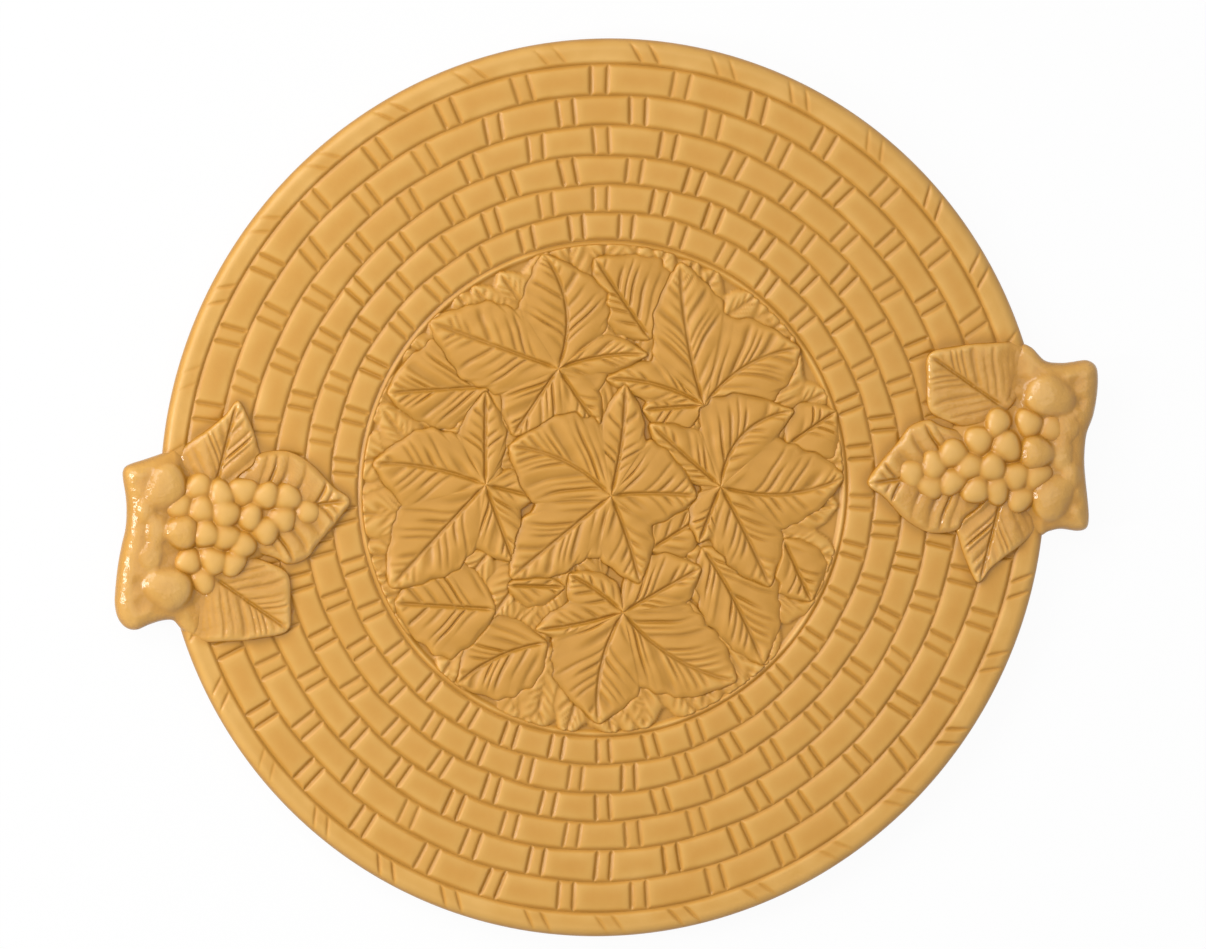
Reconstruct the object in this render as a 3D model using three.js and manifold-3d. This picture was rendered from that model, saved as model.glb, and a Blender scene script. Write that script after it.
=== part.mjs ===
// Round majolica cheese board: a press-moulded disc with a basket-weave field, a medallion of
// vine leaves, and two lug handles dressed with vine leaves and bunches of grapes.
// Millimetres, +Z up. The origin is the middle of the foot, on the table.
// The handles lie on the X axis.
import * as THREE from 'three';
import { mergeVertices } from 'three/addons/utils/BufferGeometryUtils.js';
import Module from 'manifold-3d';

// Body of the board
const PLATE_RADIUS = 165;
const RIM_WIDTH = 9.4; // bound edge outside the woven field
const RIM_THICKNESS = 6.6; // at the edge, where the underside has swept up
const RIM_ROUND = 3.6; // top of the edge
const RIM_UNDERCUT = 6; // the edge curls in by this much underneath
const BODY_THICKNESS = 9; // from the underside to the top of the weave
const MEDALLION_RADIUS = 91.3;
const MEDALLION_SINK = 1.6; // the ground of the medallion lies below the weave
const LIP_WIDTH = 2.4; // smooth ring round the medallion

// Foot ring
const FOOT_RADIUS = 108; // middle of the ring
const FOOT_WIDTH = 9;
const FOOT_TREAD = 5; // width that meets the table
const FOOT_HEIGHT = 4;
const FOOT_BLEND = 4; // flat underside left outside the foot

// Basket weave: bands of long stakes, parted by pairs of grooves with a narrow bar between
const BAND_COUNT = 6;
const BAND_GROWTH = 0.28; // each band is wider than the one inside it
const STAKE_COUNT = 33;
const BAR_ANGLE = 2.5; // degrees from groove to groove
const GROOVE_WIDTH = 1.5;
const GROOVE_DEPTH = 1.1;
const BAR_DROP = 0.25; // the bars lie this much lower than the stakes
const BINDING_SLANT = 2.2; // degrees that the cord marks lean across the rim
const BINDING_DEPTH = 0.5;

// Leaf relief
const LEAF_HEIGHT = 3.4; // crown of the leaf on top
const LAYER_STEP = 0.5; // each layer of leaves lies lower than the one over it
const EDGE_SHARE = 0.55; // height of a leaf's edge, to its crown
const VEIN_SHARE = 0.72; // height of its middle vein, to its crown
const CLEARANCE = 0.3; // slip joint between pieces that meet

// Handles
const HANDLE_SPAN = 50; // the lug, its leaves and its grapes are drawn in hundredths of this
const HANDLE_OUTWARD = 1.9; // the handles were luted on by hand, so each lies a little off its mark
const HANDLE_ALONG = 1.3;
const LUG_REACH = 21; // how far the longer horn stands out of the rim
const LUG_THICKNESS = 8.4;
const LUG_ROUND = 2;
const LUG_SADDLE = 15; // how far the lug lies over the rim
const LUG_SHOULDER = 2.4; // top of the lug over the weave
const HANDLE_LEAF_HEIGHT = 3.6;
const GRAPE_RADIUS = 8.2; // in hundredths of the span
const GRAPE_SPACE = 0.2; // between neighbouring grapes, in hundredths of the span
const BED_HEIGHT = 2; // clay that carries the grapes of a bunch
const GRAPE_LIFT = 0.6; // centre of an outer grape over the bed
const BUNCH_CROWN = 1.6; // the middle of a bunch stands higher than its edge
const BUNCH_ROWS = [1, 2, 3, 4, 5, 4, 3]; // grapes in each row, from the tip to the lug
const BUNCH_START = 12; // the last row's distance inside the edge of the rim, in hundredths of the span
const BUNCH_SHIFT = -9; // the bunch lies off the handle's own axis, in hundredths of the span

const ROUND_SEGMENTS = 54;
const GRAPE_SEGMENTS = [7, 5]; // round a grape, and from its top to its bottom
const COLOURS = { body: 0xd9a75c, leaf: 0xdcab60, handle: 0xd8a457, grape: 0xdeae62, foot: 0xcf9c52 };

// Heights and radii that follow from the sizes above
const UNDERSIDE = FOOT_HEIGHT;
const FIELD_TOP = FOOT_HEIGHT + BODY_THICKNESS;
const GROOVE_FLOOR = FIELD_TOP - GROOVE_DEPTH;
const GROUND = FIELD_TOP - MEDALLION_SINK;
const GROUND_RADIUS = MEDALLION_RADIUS - LIP_WIDTH - GROOVE_WIDTH / 2;
const FIELD_RADIUS = PLATE_RADIUS - RIM_WIDTH;
const STAKE_PITCH = (2 * Math.PI) / STAKE_COUNT;
const HANDLE_SCALE = HANDLE_SPAN / 100;
const GRAPE_REACH = GRAPE_RADIUS * HANDLE_SCALE; // a grape's radius in millimetres
const BUNCH_ASIDE = BUNCH_SHIFT * HANDLE_SCALE;
const GRAPE_PITCH = (2 * GRAPE_RADIUS + GRAPE_SPACE) * HANDLE_SCALE;
const GRAPE_ROW_STEP = GRAPE_PITCH * Math.cos(Math.PI / 6);
const BED_TOP = FIELD_TOP + BED_HEIGHT;

// Vine leaves of the medallion, drawn on a circle of radius 100 that fills the sunk ground.
// A leaf has its stem point and its lobes: bearing in degrees, length and width.
// The first leaf lies on top, and a leaf's layer says how deep it lies.
const MEDALLION_LEAVES = [
  { name: 'medallion_leaf_centre', layer: 0, stem: [1, -2],
    lobes: [[145, 44, 35], [74, 47, 19], [353, 40, 27], [287, 41, 22], [215, 54, 28]] },
  { name: 'medallion_leaf_right', layer: 1, stem: [49, -5],
    lobes: [[133, 44, 17], [57, 42, 28], [1, 51, 28], [303, 42, 22], [258, 23, 16]] },
  { name: 'medallion_leaf_top', layer: 1, stem: [-14, 53],
    lobes: [[154, 56, 28], [82, 44, 28], [6, 40, 16], [302, 25, 14], [232, 33, 25]] },
  { name: 'medallion_leaf_left', layer: 1, stem: [-50, 7],
    lobes: [[161, 48, 31], [83, 39, 17], [339, 22, 14], [285, 33, 20], [218, 57, 29]] },
  { name: 'medallion_leaf_bottom', layer: 1, stem: [2, -53],
    lobes: [[137, 29, 19], [33, 40, 22], [178, 34, 18], [251, 44, 35], [326, 56, 28]] },
  { name: 'medallion_leaf_upper_right', layer: 1, stem: [46, 29],
    lobes: [[95, 61, 31], [31, 47, 31], [157, 42, 18], [190, 30, 16]] },
  { name: 'back_leaf_lower_right', layer: 2, stem: [39, -29], lobes: [[293, 54, 27]] },
  { name: 'back_leaf_upper_left', layer: 2, stem: [-43, 48], lobes: [[177, 44, 32]] },
  { name: 'back_leaf_lower_left', layer: 2, stem: [-50, -45], lobes: [[172, 43, 32]] },
  { name: 'back_leaf_bottom_left', layer: 2, stem: [-27, -62], lobes: [[194, 43, 27]] },
  { name: 'back_leaf_top', layer: 2, stem: [26, 60], lobes: [[118, 44, 26], [75, 35, 14]] },
  { name: 'back_leaf_right', layer: 2, stem: [72, -25], lobes: [[290, 34, 18]] },
  { name: 'back_leaf_upper_edge', layer: 2, stem: [78, 8], lobes: [[28, 26, 20]] },
  { name: 'small_leaf_inner', layer: 2, stem: [17, -24], lobes: [[28, 27, 14]] },
  { name: 'small_leaf_lower', layer: 2, stem: [-43, -36], lobes: [[0, 24, 11]] },
];

// Stations along a leaf lobe: share of its length, of its width and of its height.
const LOBE_STATIONS = [[-0.1, 0.45, 0.85], [0.32, 1, 1], [0.66, 0.86, 0.95], [1, 0.06, 0.7]];

// Leaves of a handle in hundredths of its span, from the edge of the rim: outward is +X and the
// handle's axis is Y = 0.
const HANDLE_LEAVES = [
  { name: 'inner_leaf', stem: [-52, -14], lobes: [[181, 86, 76]] },
  { name: 'broad_leaf', stem: [-30, 24], lobes: [[139, 72, 64]] },
  { name: 'pointed_leaf', stem: [-36, -34], lobes: [[250, 68, 50]] },
];

// Horned outline of a lug outside the rim, as shares of its reach outward and hundredths of the span
// along the rim, from one shoulder round both horns to the other.
const LUG_OUTLINE = [
  [0.2, 58], [0.62, 58], [0.95, 55], [1, 42], [0.88, 19], [0.67, -8],
  [0.61, -34], [0.64, -55], [0.55, -65], [0.12, -64],
];

const HANDLES = [
  { side: 'right', bearing: 0, outward: HANDLE_OUTWARD, along: -HANDLE_ALONG },
  { side: 'left', bearing: 180, outward: -HANDLE_OUTWARD, along: HANDLE_ALONG },
];

const wasm = await Module();
wasm.setup();

// A closed geometry as a solid that can be joined and cut.
function solidOf(geometry) {
  const bare = geometry.clone();
  bare.deleteAttribute('normal');
  bare.deleteAttribute('uv');
  const merged = mergeVertices(bare);
  const mesh = new wasm.Mesh({
    numProp: 3,
    vertProperties: merged.getAttribute('position').array,
    triVerts: new Uint32Array(merged.index.array),
  });
  return new wasm.Manifold(mesh);
}

function geometryOf(solid) {
  const mesh = solid.getMesh();
  const geometry = new THREE.BufferGeometry();
  geometry.setAttribute('position', new THREE.BufferAttribute(mesh.vertProperties, 3));
  geometry.setIndex(new THREE.BufferAttribute(mesh.triVerts, 1));
  geometry.computeVertexNormals();
  return geometry;
}

function joined(solids) {
  return solids.reduce((whole, solid) => whole.add(solid));
}

// What is left of a cut piece: scraps hidden under its neighbours go.
function largestBody(solid) {
  return solid.decompose().reduce((most, body) => (body.volume() > most.volume() ? body : most));
}

function indexedGeometry(points, triangles) {
  const geometry = new THREE.BufferGeometry();
  geometry.setAttribute('position', new THREE.Float32BufferAttribute(points.flat(), 3));
  geometry.setIndex(triangles.flat());
  return geometry;
}

// A ring of points round the Z axis: each column has a bearing and a drop below the ring's height.
function ring(radius, height, columns) {
  return columns.map(({ bearing, drop }) => ({
    bearing,
    point: [radius * Math.cos(bearing), radius * Math.sin(bearing), height - drop],
  }));
}

function plainColumns() {
  return Array.from({ length: ROUND_SEGMENTS }, (_, i) => ({
    bearing: (i * 2 * Math.PI) / ROUND_SEGMENTS,
    drop: 0,
  }));
}

// Columns of a woven band: for each stake, groove, bar, groove, and the two ends of the stake.
function wovenColumns(radius, start, depth, barDrop) {
  const bar = THREE.MathUtils.degToRad(BAR_ANGLE);
  const slope = GROOVE_WIDTH / 2 / radius;
  return Array.from({ length: STAKE_COUNT }, (_, i) => {
    const bearing = start + i * STAKE_PITCH;
    return [
      { bearing, drop: depth },
      { bearing: bearing + bar / 2, drop: barDrop },
      { bearing: bearing + bar, drop: depth },
      { bearing: bearing + bar + slope, drop: 0 },
      { bearing: bearing + STAKE_PITCH - slope, drop: 0 },
    ];
  }).flat();
}

// Triangles between two rings. Rings of one count are joined column by column, so a column may lean,
// and others are zipped by bearing.
function zip(inner, outer, innerStart, outerStart) {
  const triangles = [];
  const at = (side, start, i) => start + (i % side.length);
  const bearingOf = (side, i) => side[i % side.length].bearing + (i < side.length ? 0 : 2 * Math.PI);
  let i = 0;
  let j = 0;
  while (i < inner.length || j < outer.length) {
    const even = inner.length === outer.length;
    const outerIsNext = even ? j <= i : bearingOf(outer, j + 1) < bearingOf(inner, i + 1);
    const stepOuter = i === inner.length || (j < outer.length && outerIsNext);
    const from = at(inner, innerStart, i);
    const over = at(outer, outerStart, j);
    if (stepOuter) {
      triangles.push([from, over, at(outer, outerStart, j + 1)]);
      j += 1;
    } else {
      triangles.push([from, over, at(inner, innerStart, i + 1)]);
      i += 1;
    }
  }
  return triangles;
}

// A closed body from rings that run from the top middle out over the edge to the bottom middle.
function ringedBody(rings, topHeight, bottomHeight) {
  const points = [[0, 0, topHeight], [0, 0, bottomHeight]];
  const starts = rings.map((columns) => {
    const start = points.length;
    points.push(...columns.map((column) => column.point));
    return start;
  });
  const last = rings.length - 1;
  const triangles = rings[0].map((_, i) => [0, starts[0] + i, starts[0] + ((i + 1) % rings[0].length)]);
  for (let k = 0; k < last; k += 1) {
    triangles.push(...zip(rings[k], rings[k + 1], starts[k], starts[k + 1]));
  }
  rings[last].forEach((_, i) => {
    triangles.push([1, starts[last] + ((i + 1) % rings[last].length), starts[last] + i]);
  });
  return indexedGeometry(points, triangles);
}

// Outer radii of the bands, from the medallion to the rim.
function bandRadii() {
  const mean = (FIELD_RADIUS - MEDALLION_RADIUS) / BAND_COUNT;
  let radius = MEDALLION_RADIUS;
  return Array.from({ length: BAND_COUNT }, (_, k) => {
    radius += mean + BAND_GROWTH * (k - (BAND_COUNT - 1) / 2);
    return radius;
  });
}

// Section of the edge from the top round to the underside, grown by a clearance: [radius, height].
function edgeSection(grow) {
  const widest = FIELD_TOP - RIM_ROUND;
  const under = FIELD_TOP - RIM_THICKNESS;
  const quarter = [1, 2, 3].map((third) => (third * Math.PI) / 6);
  const top = quarter.map((turn) => [
    PLATE_RADIUS - RIM_ROUND + (RIM_ROUND + grow) * Math.sin(turn),
    widest + (RIM_ROUND + grow) * Math.cos(turn),
  ]);
  const below = quarter.slice(1).map((turn) => [
    PLATE_RADIUS - RIM_UNDERCUT + (RIM_UNDERCUT + grow) * Math.cos(turn),
    widest - (widest - under + grow) * Math.sin(turn),
  ]);
  return [...top, ...below];
}

// The disc: sunk medallion, smooth lip, woven bands, bound rim and plain underside.
function platterDisc() {
  const half = GROOVE_WIDTH / 2;
  const plain = plainColumns();
  const rings = [
    ring(GROUND_RADIUS, GROUND, plain),
    ring(GROUND_RADIUS + LIP_WIDTH / 3, FIELD_TOP, plain),
    ring(MEDALLION_RADIUS - half, FIELD_TOP, plain),
    ring(MEDALLION_RADIUS, GROOVE_FLOOR, plain),
  ];
  let inner = MEDALLION_RADIUS;
  bandRadii().forEach((outer, k) => {
    const start = (k % 2) * (STAKE_PITCH / 2);
    const columns = wovenColumns(inner, start, GROOVE_DEPTH, BAR_DROP);
    rings.push(ring(inner + half, FIELD_TOP, columns));
    rings.push(ring(outer - half, FIELD_TOP, columns));
    rings.push(ring(outer, GROOVE_FLOOR, plain));
    inner = outer;
  });
  const binding = wovenColumns(FIELD_RADIUS, 0, BINDING_DEPTH, 0);
  const lean = THREE.MathUtils.degToRad(BINDING_SLANT);
  const leaning = binding.map(({ bearing, drop }) => ({ bearing: bearing + lean, drop }));
  const edge = edgeSection(0);
  rings.push(ring(FIELD_RADIUS + half, FIELD_TOP, binding));
  rings.push(ring(PLATE_RADIUS - RIM_ROUND, FIELD_TOP, leaning));
  edge.forEach(([radius, height]) => rings.push(ring(radius, height, plain)));
  rings.push(ring(FOOT_RADIUS + FOOT_WIDTH / 2 + FOOT_BLEND, UNDERSIDE, plain));
  return ringedBody(rings, GROUND, UNDERSIDE);
}

function footRing() {
  const section = [
    [FOOT_RADIUS - FOOT_TREAD / 2, 0],
    [FOOT_RADIUS + FOOT_TREAD / 2, 0],
    [FOOT_RADIUS + FOOT_WIDTH / 2, FOOT_HEIGHT],
    [FOOT_RADIUS - FOOT_WIDTH / 2, FOOT_HEIGHT],
    [FOOT_RADIUS - FOOT_TREAD / 2, 0],
  ].map(([radius, height]) => new THREE.Vector2(radius, height));
  return new THREE.LatheGeometry(section, ROUND_SEGMENTS).rotateX(Math.PI / 2);
}

// A lobe of a leaf lofted along +X from its stem: flat below, with a low edge, two crowned halves and
// a sunk middle vein.
function leafLobe(length, width, height, floor) {
  const points = [];
  const triangles = [];
  LOBE_STATIONS.forEach(([along, wide, tall]) => {
    const x = along * length;
    const y = (wide * width) / 2;
    const crown = tall * height;
    points.push([x, -y, floor], [x, y, floor], [x, y, crown * EDGE_SHARE], [x, y / 2, crown]);
    points.push([x, 0, crown * VEIN_SHARE], [x, -y / 2, crown], [x, -y, crown * EDGE_SHARE]);
  });
  const size = points.length / LOBE_STATIONS.length;
  for (let start = 0; start + size < points.length; start += size) {
    for (let i = 0; i < size; i += 1) {
      const next = start + ((i + 1) % size);
      triangles.push([start + i, next, start + size + i]);
      triangles.push([next, next + size, start + size + i]);
    }
  }
  const end = points.length - size;
  for (let i = 1; i < size - 1; i += 1) {
    triangles.push([0, i + 1, i]);
    triangles.push([end, end + i, end + i + 1]);
  }
  return indexedGeometry(points, triangles);
}

// A leaf of several lobes on one stem point. To cut its neighbours it is grown sideways and made tall.
function leafSolid(leaf, scale, height, grow) {
  const lobes = leaf.lobes.map(([bearing, length, width]) => {
    const lobe = leafLobe(length * scale + grow, width * scale + 2 * grow, height, -grow);
    lobe.rotateZ(THREE.MathUtils.degToRad(bearing));
    lobe.translate(leaf.stem[0] * scale, leaf.stem[1] * scale, 0);
    return solidOf(lobe);
  });
  return joined(lobes);
}

// A leaf that cuts its neighbours is tall enough for its lowest edge to clear them.
function cutterHeight(height) {
  return height / EDGE_SHARE / LOBE_STATIONS.at(-1)[2];
}

function upright(radius, low, high) {
  const cylinder = new THREE.CylinderGeometry(radius, radius, high - low, ROUND_SEGMENTS);
  return cylinder.rotateX(Math.PI / 2).translate(0, 0, (low + high) / 2);
}

// The medallion's leaves: each is cut round the leaves that lie over it, and trimmed at the lip.
function medallionLeaves() {
  const scale = GROUND_RADIUS / 100;
  const bed = solidOf(upright(GROUND_RADIUS - CLEARANCE, -CLEARANCE, cutterHeight(LEAF_HEIGHT)));
  let cover = null;
  return MEDALLION_LEAVES.map((leaf) => {
    const height = LEAF_HEIGHT - leaf.layer * LAYER_STEP;
    let body = leafSolid(leaf, scale, height, 0).intersect(bed);
    if (cover) body = body.subtract(cover);
    const above = leafSolid(leaf, scale, cutterHeight(LEAF_HEIGHT), CLEARANCE);
    cover = cover ? cover.add(above) : above;
    return { name: leaf.name, geometry: geometryOf(largestBody(body)).translate(0, 0, GROUND) };
  });
}

// The board's own edge, as a cutter that leaves a slip joint round it.
function edgeCutter() {
  const section = edgeSection(CLEARANCE);
  const [topRadius, underRadius] = [section[0][0], section.at(-1)[0]];
  const outline = [[0, 0], [underRadius, 0], ...section.reverse()];
  outline.push([topRadius - RIM_ROUND, FIELD_TOP + CLEARANCE], [0, FIELD_TOP + CLEARANCE]);
  const points = outline.map(([radius, height]) => new THREE.Vector2(radius, height));
  return solidOf(new THREE.LatheGeometry(points, ROUND_SEGMENTS).rotateX(Math.PI / 2));
}

// Horned lug with rounded edges, from its saddle over the rim to the tips of its horns.
function lugGeometry(grow) {
  const shape = new THREE.Shape();
  const horns = LUG_OUTLINE.map(([share, along]) => (
    new THREE.Vector2(PLATE_RADIUS + share * LUG_REACH, along * HANDLE_SCALE)
  ));
  const inside = PLATE_RADIUS - LUG_SADDLE - grow;
  shape.moveTo(inside, horns[0].y);
  shape.lineTo(horns[0].x, horns[0].y);
  shape.splineThru(horns.slice(1));
  shape.lineTo(inside, horns.at(-1).y);
  shape.closePath();
  const body = new THREE.ExtrudeGeometry(shape, {
    depth: LUG_THICKNESS - 2 * LUG_ROUND,
    curveSegments: 2,
    bevelSize: LUG_ROUND,
    bevelThickness: LUG_ROUND + grow,
    bevelOffset: grow - LUG_ROUND,
    bevelSegments: 2,
  });
  return body.translate(0, 0, FIELD_TOP - LUG_THICKNESS + LUG_ROUND + LUG_SHOULDER);
}

// Rows of a bunch from its tip to the lug: each row's place and half its width between end grapes.
function bunchRows() {
  return BUNCH_ROWS.map((count, row) => ({
    count,
    x: PLATE_RADIUS - BUNCH_START * HANDLE_SCALE - (BUNCH_ROWS.length - 1 - row) * GRAPE_ROW_STEP,
    half: ((count - 1) / 2) * GRAPE_PITCH,
  }));
}

// The bed of clay under a bunch: a flat pad whose outline runs tangent to the end grapes of the rows.
function bunchBed(low, high, grow) {
  const rows = bunchRows();
  const inset = GRAPE_REACH + grow;
  const corner = (x, half, sign) => new THREE.Vector2(x, BUNCH_ASIDE + sign * half);
  const side = (sign) => [
    corner(rows[0].x - inset, rows[0].half + inset * Math.tan(Math.PI / 6), sign),
    ...rows.map(({ x, half }) => corner(x, half + inset / Math.cos(Math.PI / 6), sign)),
    corner(rows.at(-1).x + inset, rows.at(-1).half + inset * Math.tan(Math.PI / 6), sign),
  ];
  const outline = new THREE.Shape([...side(-1), ...side(1).reverse()]);
  const pad = new THREE.ExtrudeGeometry(outline, { depth: high - low, bevelEnabled: false });
  return pad.translate(0, 0, low);
}

// A bunch of grapes in close-packed rows on its bed, highest in the middle.
function grapeBunch() {
  const widest = Math.max(...bunchRows().map(({ half }) => half)) + GRAPE_REACH;
  const underBed = solidOf(bunchBed(FIELD_TOP - GRAPE_REACH, FIELD_TOP, GRAPE_REACH));
  const grapes = bunchRows().flatMap(({ count, x, half }) => (
    Array.from({ length: count }, (_, i) => {
      const across = i * GRAPE_PITCH - half;
      const crown = BUNCH_CROWN * (1 - (across / widest) ** 2);
      const grape = new THREE.SphereGeometry(GRAPE_REACH, ...GRAPE_SEGMENTS).rotateX(Math.PI / 2);
      return solidOf(grape.translate(x, BUNCH_ASIDE + across, BED_TOP + GRAPE_LIFT + crown));
    })
  ));
  return joined([solidOf(bunchBed(FIELD_TOP, BED_TOP, 0)), ...grapes]).subtract(underBed);
}

// The clay pieces of one handle, outward along +X. The bunch lies on the weave, the lug is cut round
// the edge of the board and round the bunch, and the leaves round both and round each other.
function handlePieces({ side, outward, along }) {
  const place = (geometry) => solidOf(geometry.translate(outward, along, 0));
  const bunchRoom = place(bunchBed(FIELD_TOP - CLEARANCE, BED_TOP + GRAPE_PITCH, CLEARANCE));
  const lug = place(lugGeometry(0)).subtract(edgeCutter()).subtract(bunchRoom);
  const pieces = [
    { name: `${side}_grape_bunch`, solid: place(geometryOf(grapeBunch())), colour: COLOURS.grape },
    { name: `${side}_handle_lug`, solid: lug, colour: COLOURS.handle },
  ];
  let room = place(lugGeometry(CLEARANCE)).add(bunchRoom);
  HANDLE_LEAVES.forEach((leaf) => {
    const onBoard = (height, grow) => {
      const geometry = geometryOf(leafSolid(leaf, HANDLE_SCALE, height, grow));
      return place(geometry.translate(PLATE_RADIUS, 0, FIELD_TOP));
    };
    const solid = onBoard(HANDLE_LEAF_HEIGHT, 0).subtract(room);
    pieces.push({ name: `${side}_handle_${leaf.name}`, solid, colour: COLOURS.leaf });
    room = room.add(onBoard(cutterHeight(HANDLE_LEAF_HEIGHT), CLEARANCE));
  });
  return pieces.map(({ name, solid, colour }) => glazed(name, geometryOf(largestBody(solid)), colour));
}

function glazed(name, geometry, color) {
  const material = new THREE.MeshStandardMaterial({ color, roughness: 0.3, metalness: 0 });
  const mesh = new THREE.Mesh(geometry, material);
  mesh.name = name;
  return mesh;
}

const group = new THREE.Group();
group.add(glazed('platter_disc', platterDisc(), COLOURS.body));
group.add(glazed('foot_ring', footRing(), COLOURS.foot));
medallionLeaves().forEach(({ name, geometry }) => group.add(glazed(name, geometry, COLOURS.leaf)));
HANDLES.forEach((handle) => {
  const arm = new THREE.Group();
  arm.rotation.z = THREE.MathUtils.degToRad(handle.bearing);
  arm.add(...handlePieces(handle));
  group.add(arm);
});

export default group;
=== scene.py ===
# %% [markdown]
# # A majolica cheese board
# The board is one piece of buff earthenware under a honey-coloured glaze. A potter presses the disc with
# its basket weave in a mould, lutes on the vine leaves, the lugs and the grapes, and the glaze then runs
# over everything: thin and pale on the high points, thick and brown in the grooves.
# The frame gives every piece its place. Sizes below are in millimetres and are turned to metres in the
# meshes.

# %% Load the fixed frame
import math

import bpy
import numpy as np
from mathutils import Matrix, Vector


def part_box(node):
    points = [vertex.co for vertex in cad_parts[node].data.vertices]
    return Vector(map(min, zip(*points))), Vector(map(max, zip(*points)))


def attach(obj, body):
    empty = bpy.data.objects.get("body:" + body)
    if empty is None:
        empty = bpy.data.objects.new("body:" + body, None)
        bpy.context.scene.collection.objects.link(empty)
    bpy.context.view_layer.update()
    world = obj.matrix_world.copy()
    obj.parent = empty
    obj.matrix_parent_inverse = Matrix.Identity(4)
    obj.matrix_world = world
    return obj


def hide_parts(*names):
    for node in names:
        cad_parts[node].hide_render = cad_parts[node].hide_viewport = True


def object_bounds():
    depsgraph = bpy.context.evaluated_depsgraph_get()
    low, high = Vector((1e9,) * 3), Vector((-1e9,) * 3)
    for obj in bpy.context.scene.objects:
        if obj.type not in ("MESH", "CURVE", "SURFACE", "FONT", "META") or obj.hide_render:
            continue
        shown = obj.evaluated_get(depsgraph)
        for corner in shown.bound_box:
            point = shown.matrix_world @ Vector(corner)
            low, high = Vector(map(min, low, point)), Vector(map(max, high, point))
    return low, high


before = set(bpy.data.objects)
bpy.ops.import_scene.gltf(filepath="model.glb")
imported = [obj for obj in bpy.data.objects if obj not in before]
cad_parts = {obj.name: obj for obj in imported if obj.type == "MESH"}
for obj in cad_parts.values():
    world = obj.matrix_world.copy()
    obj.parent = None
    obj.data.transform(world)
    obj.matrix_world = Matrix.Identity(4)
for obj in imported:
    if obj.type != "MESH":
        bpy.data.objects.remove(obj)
cad_low, cad_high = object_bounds()
MM = 0.001

disc_low, disc_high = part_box("platter_disc")
foot_low, foot_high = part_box("foot_ring")
PLATE_RADIUS = disc_high.y / MM - 0.02  # a hair inside the frame's box
FIELD_TOP = disc_high.z / MM
UNDERSIDE = foot_high.z / MM
FOOT_OUTER = foot_high.x / MM
print(f"disc {PLATE_RADIUS:.1f} mm in radius, weave at {FIELD_TOP:.1f} mm, underside at {UNDERSIDE:.1f} mm")

# %% [markdown]
# ## Camera
# The board was photographed from almost straight above through a long lens: its round rim shows as an
# ellipse with axes of 451.6 and 441.6 pixels, so the lens leans 12 degrees, towards the upper left. All
# rings of the weave share one middle in the picture, which they do only from far away. Aiming a camera by
# hand would take many tries. Its axes are worked out from the ellipse instead: the long axis of the ellipse
# is a level line, and the short axis is the line that leans away.

# %% Camera
PHOTO_WIDTH = 1206
PHOTO_HEIGHT = 949
MIDDLE_PIXEL = (603.5, 488.9)  # where the middle of the weave shows
PIXEL_SIZE = 0.3654  # millimetres of board along the long axis of the ellipse
LEAN = math.radians(12.0)
LEAN_BEARING = math.radians(150)  # on the board, from +X
LONG_AXIS_BEARING = math.radians(66)  # in the picture, from its right
CAMERA_DISTANCE = 12000

level = Vector((math.cos(LEAN_BEARING - math.pi / 2), math.sin(LEAN_BEARING - math.pi / 2), 0))
lean_side = Vector((math.cos(LEAN_BEARING), math.sin(LEAN_BEARING), 0))
towards_camera = math.sin(LEAN) * lean_side + math.cos(LEAN) * Vector((0, 0, 1))
short_axis = math.cos(LEAN) * lean_side - math.sin(LEAN) * Vector((0, 0, 1))
picture_right = math.cos(LONG_AXIS_BEARING) * level - math.sin(LONG_AXIS_BEARING) * short_axis
picture_up = math.sin(LONG_AXIS_BEARING) * level + math.cos(LONG_AXIS_BEARING) * short_axis
aim = Vector((0, 0, FIELD_TOP))
aim += picture_right * (PHOTO_WIDTH / 2 - MIDDLE_PIXEL[0]) * PIXEL_SIZE
aim += picture_up * (MIDDLE_PIXEL[1] - PHOTO_HEIGHT / 2) * PIXEL_SIZE

camera = bpy.data.objects.new("camera", bpy.data.cameras.new("camera"))
camera.data.lens = camera.data.sensor_width * CAMERA_DISTANCE / (PHOTO_WIDTH * PIXEL_SIZE)
camera.data.clip_end = 60
camera.matrix_world = Matrix.Translation((aim + towards_camera * CAMERA_DISTANCE) * MM) @ Matrix(
    (picture_right, picture_up, towards_camera)
).transposed().to_4x4()
bpy.context.scene.collection.objects.link(camera)
bpy.context.scene.camera = camera
bpy.context.scene.view_settings.view_transform = "Standard"
print(f"camera with a {camera.data.lens:.0f} mm lens, {CAMERA_DISTANCE} mm away")

# %% [markdown]
# ## Nodes and colours
# Shader trees get long when every node takes four lines. One small function adds a node, sets its settings
# and links its inputs. Colours are written as sRGB hex values, as a picture editor shows them, and turned
# to the linear numbers that shaders use.


# %% One function for nodes and one for colours
def linear(hex_colour):
    """sRGB hex to linear RGBA: below 0.04045 divide by 12.92, above it ((c + 0.055) / 1.055) to the power
    2.4."""
    srgb = np.array([int(hex_colour[i : i + 2], 16) for i in (1, 3, 5)]) / 255
    rgb = np.where(srgb <= 0.04045, srgb / 12.92, ((srgb + 0.055) / 1.055) ** 2.4)
    return (*rgb.tolist(), 1.0)


def add_node(tree, kind, settings=None, inputs=None):
    """Adds a node. Settings are its attributes; an input is a value, or another node's output socket."""
    node = tree.nodes.new(kind)
    for key, value in (settings or {}).items():
        setattr(node, key, value)
    for key, value in (inputs or {}).items():
        if isinstance(value, bpy.types.NodeSocket):
            tree.links.new(value, node.inputs[key])
        else:
            node.inputs[key].default_value = value
    return node


def new_tree(owner):
    """An empty node tree for a material or a world."""
    owner.use_nodes = True
    owner.node_tree.nodes.clear()
    return owner.node_tree


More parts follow.
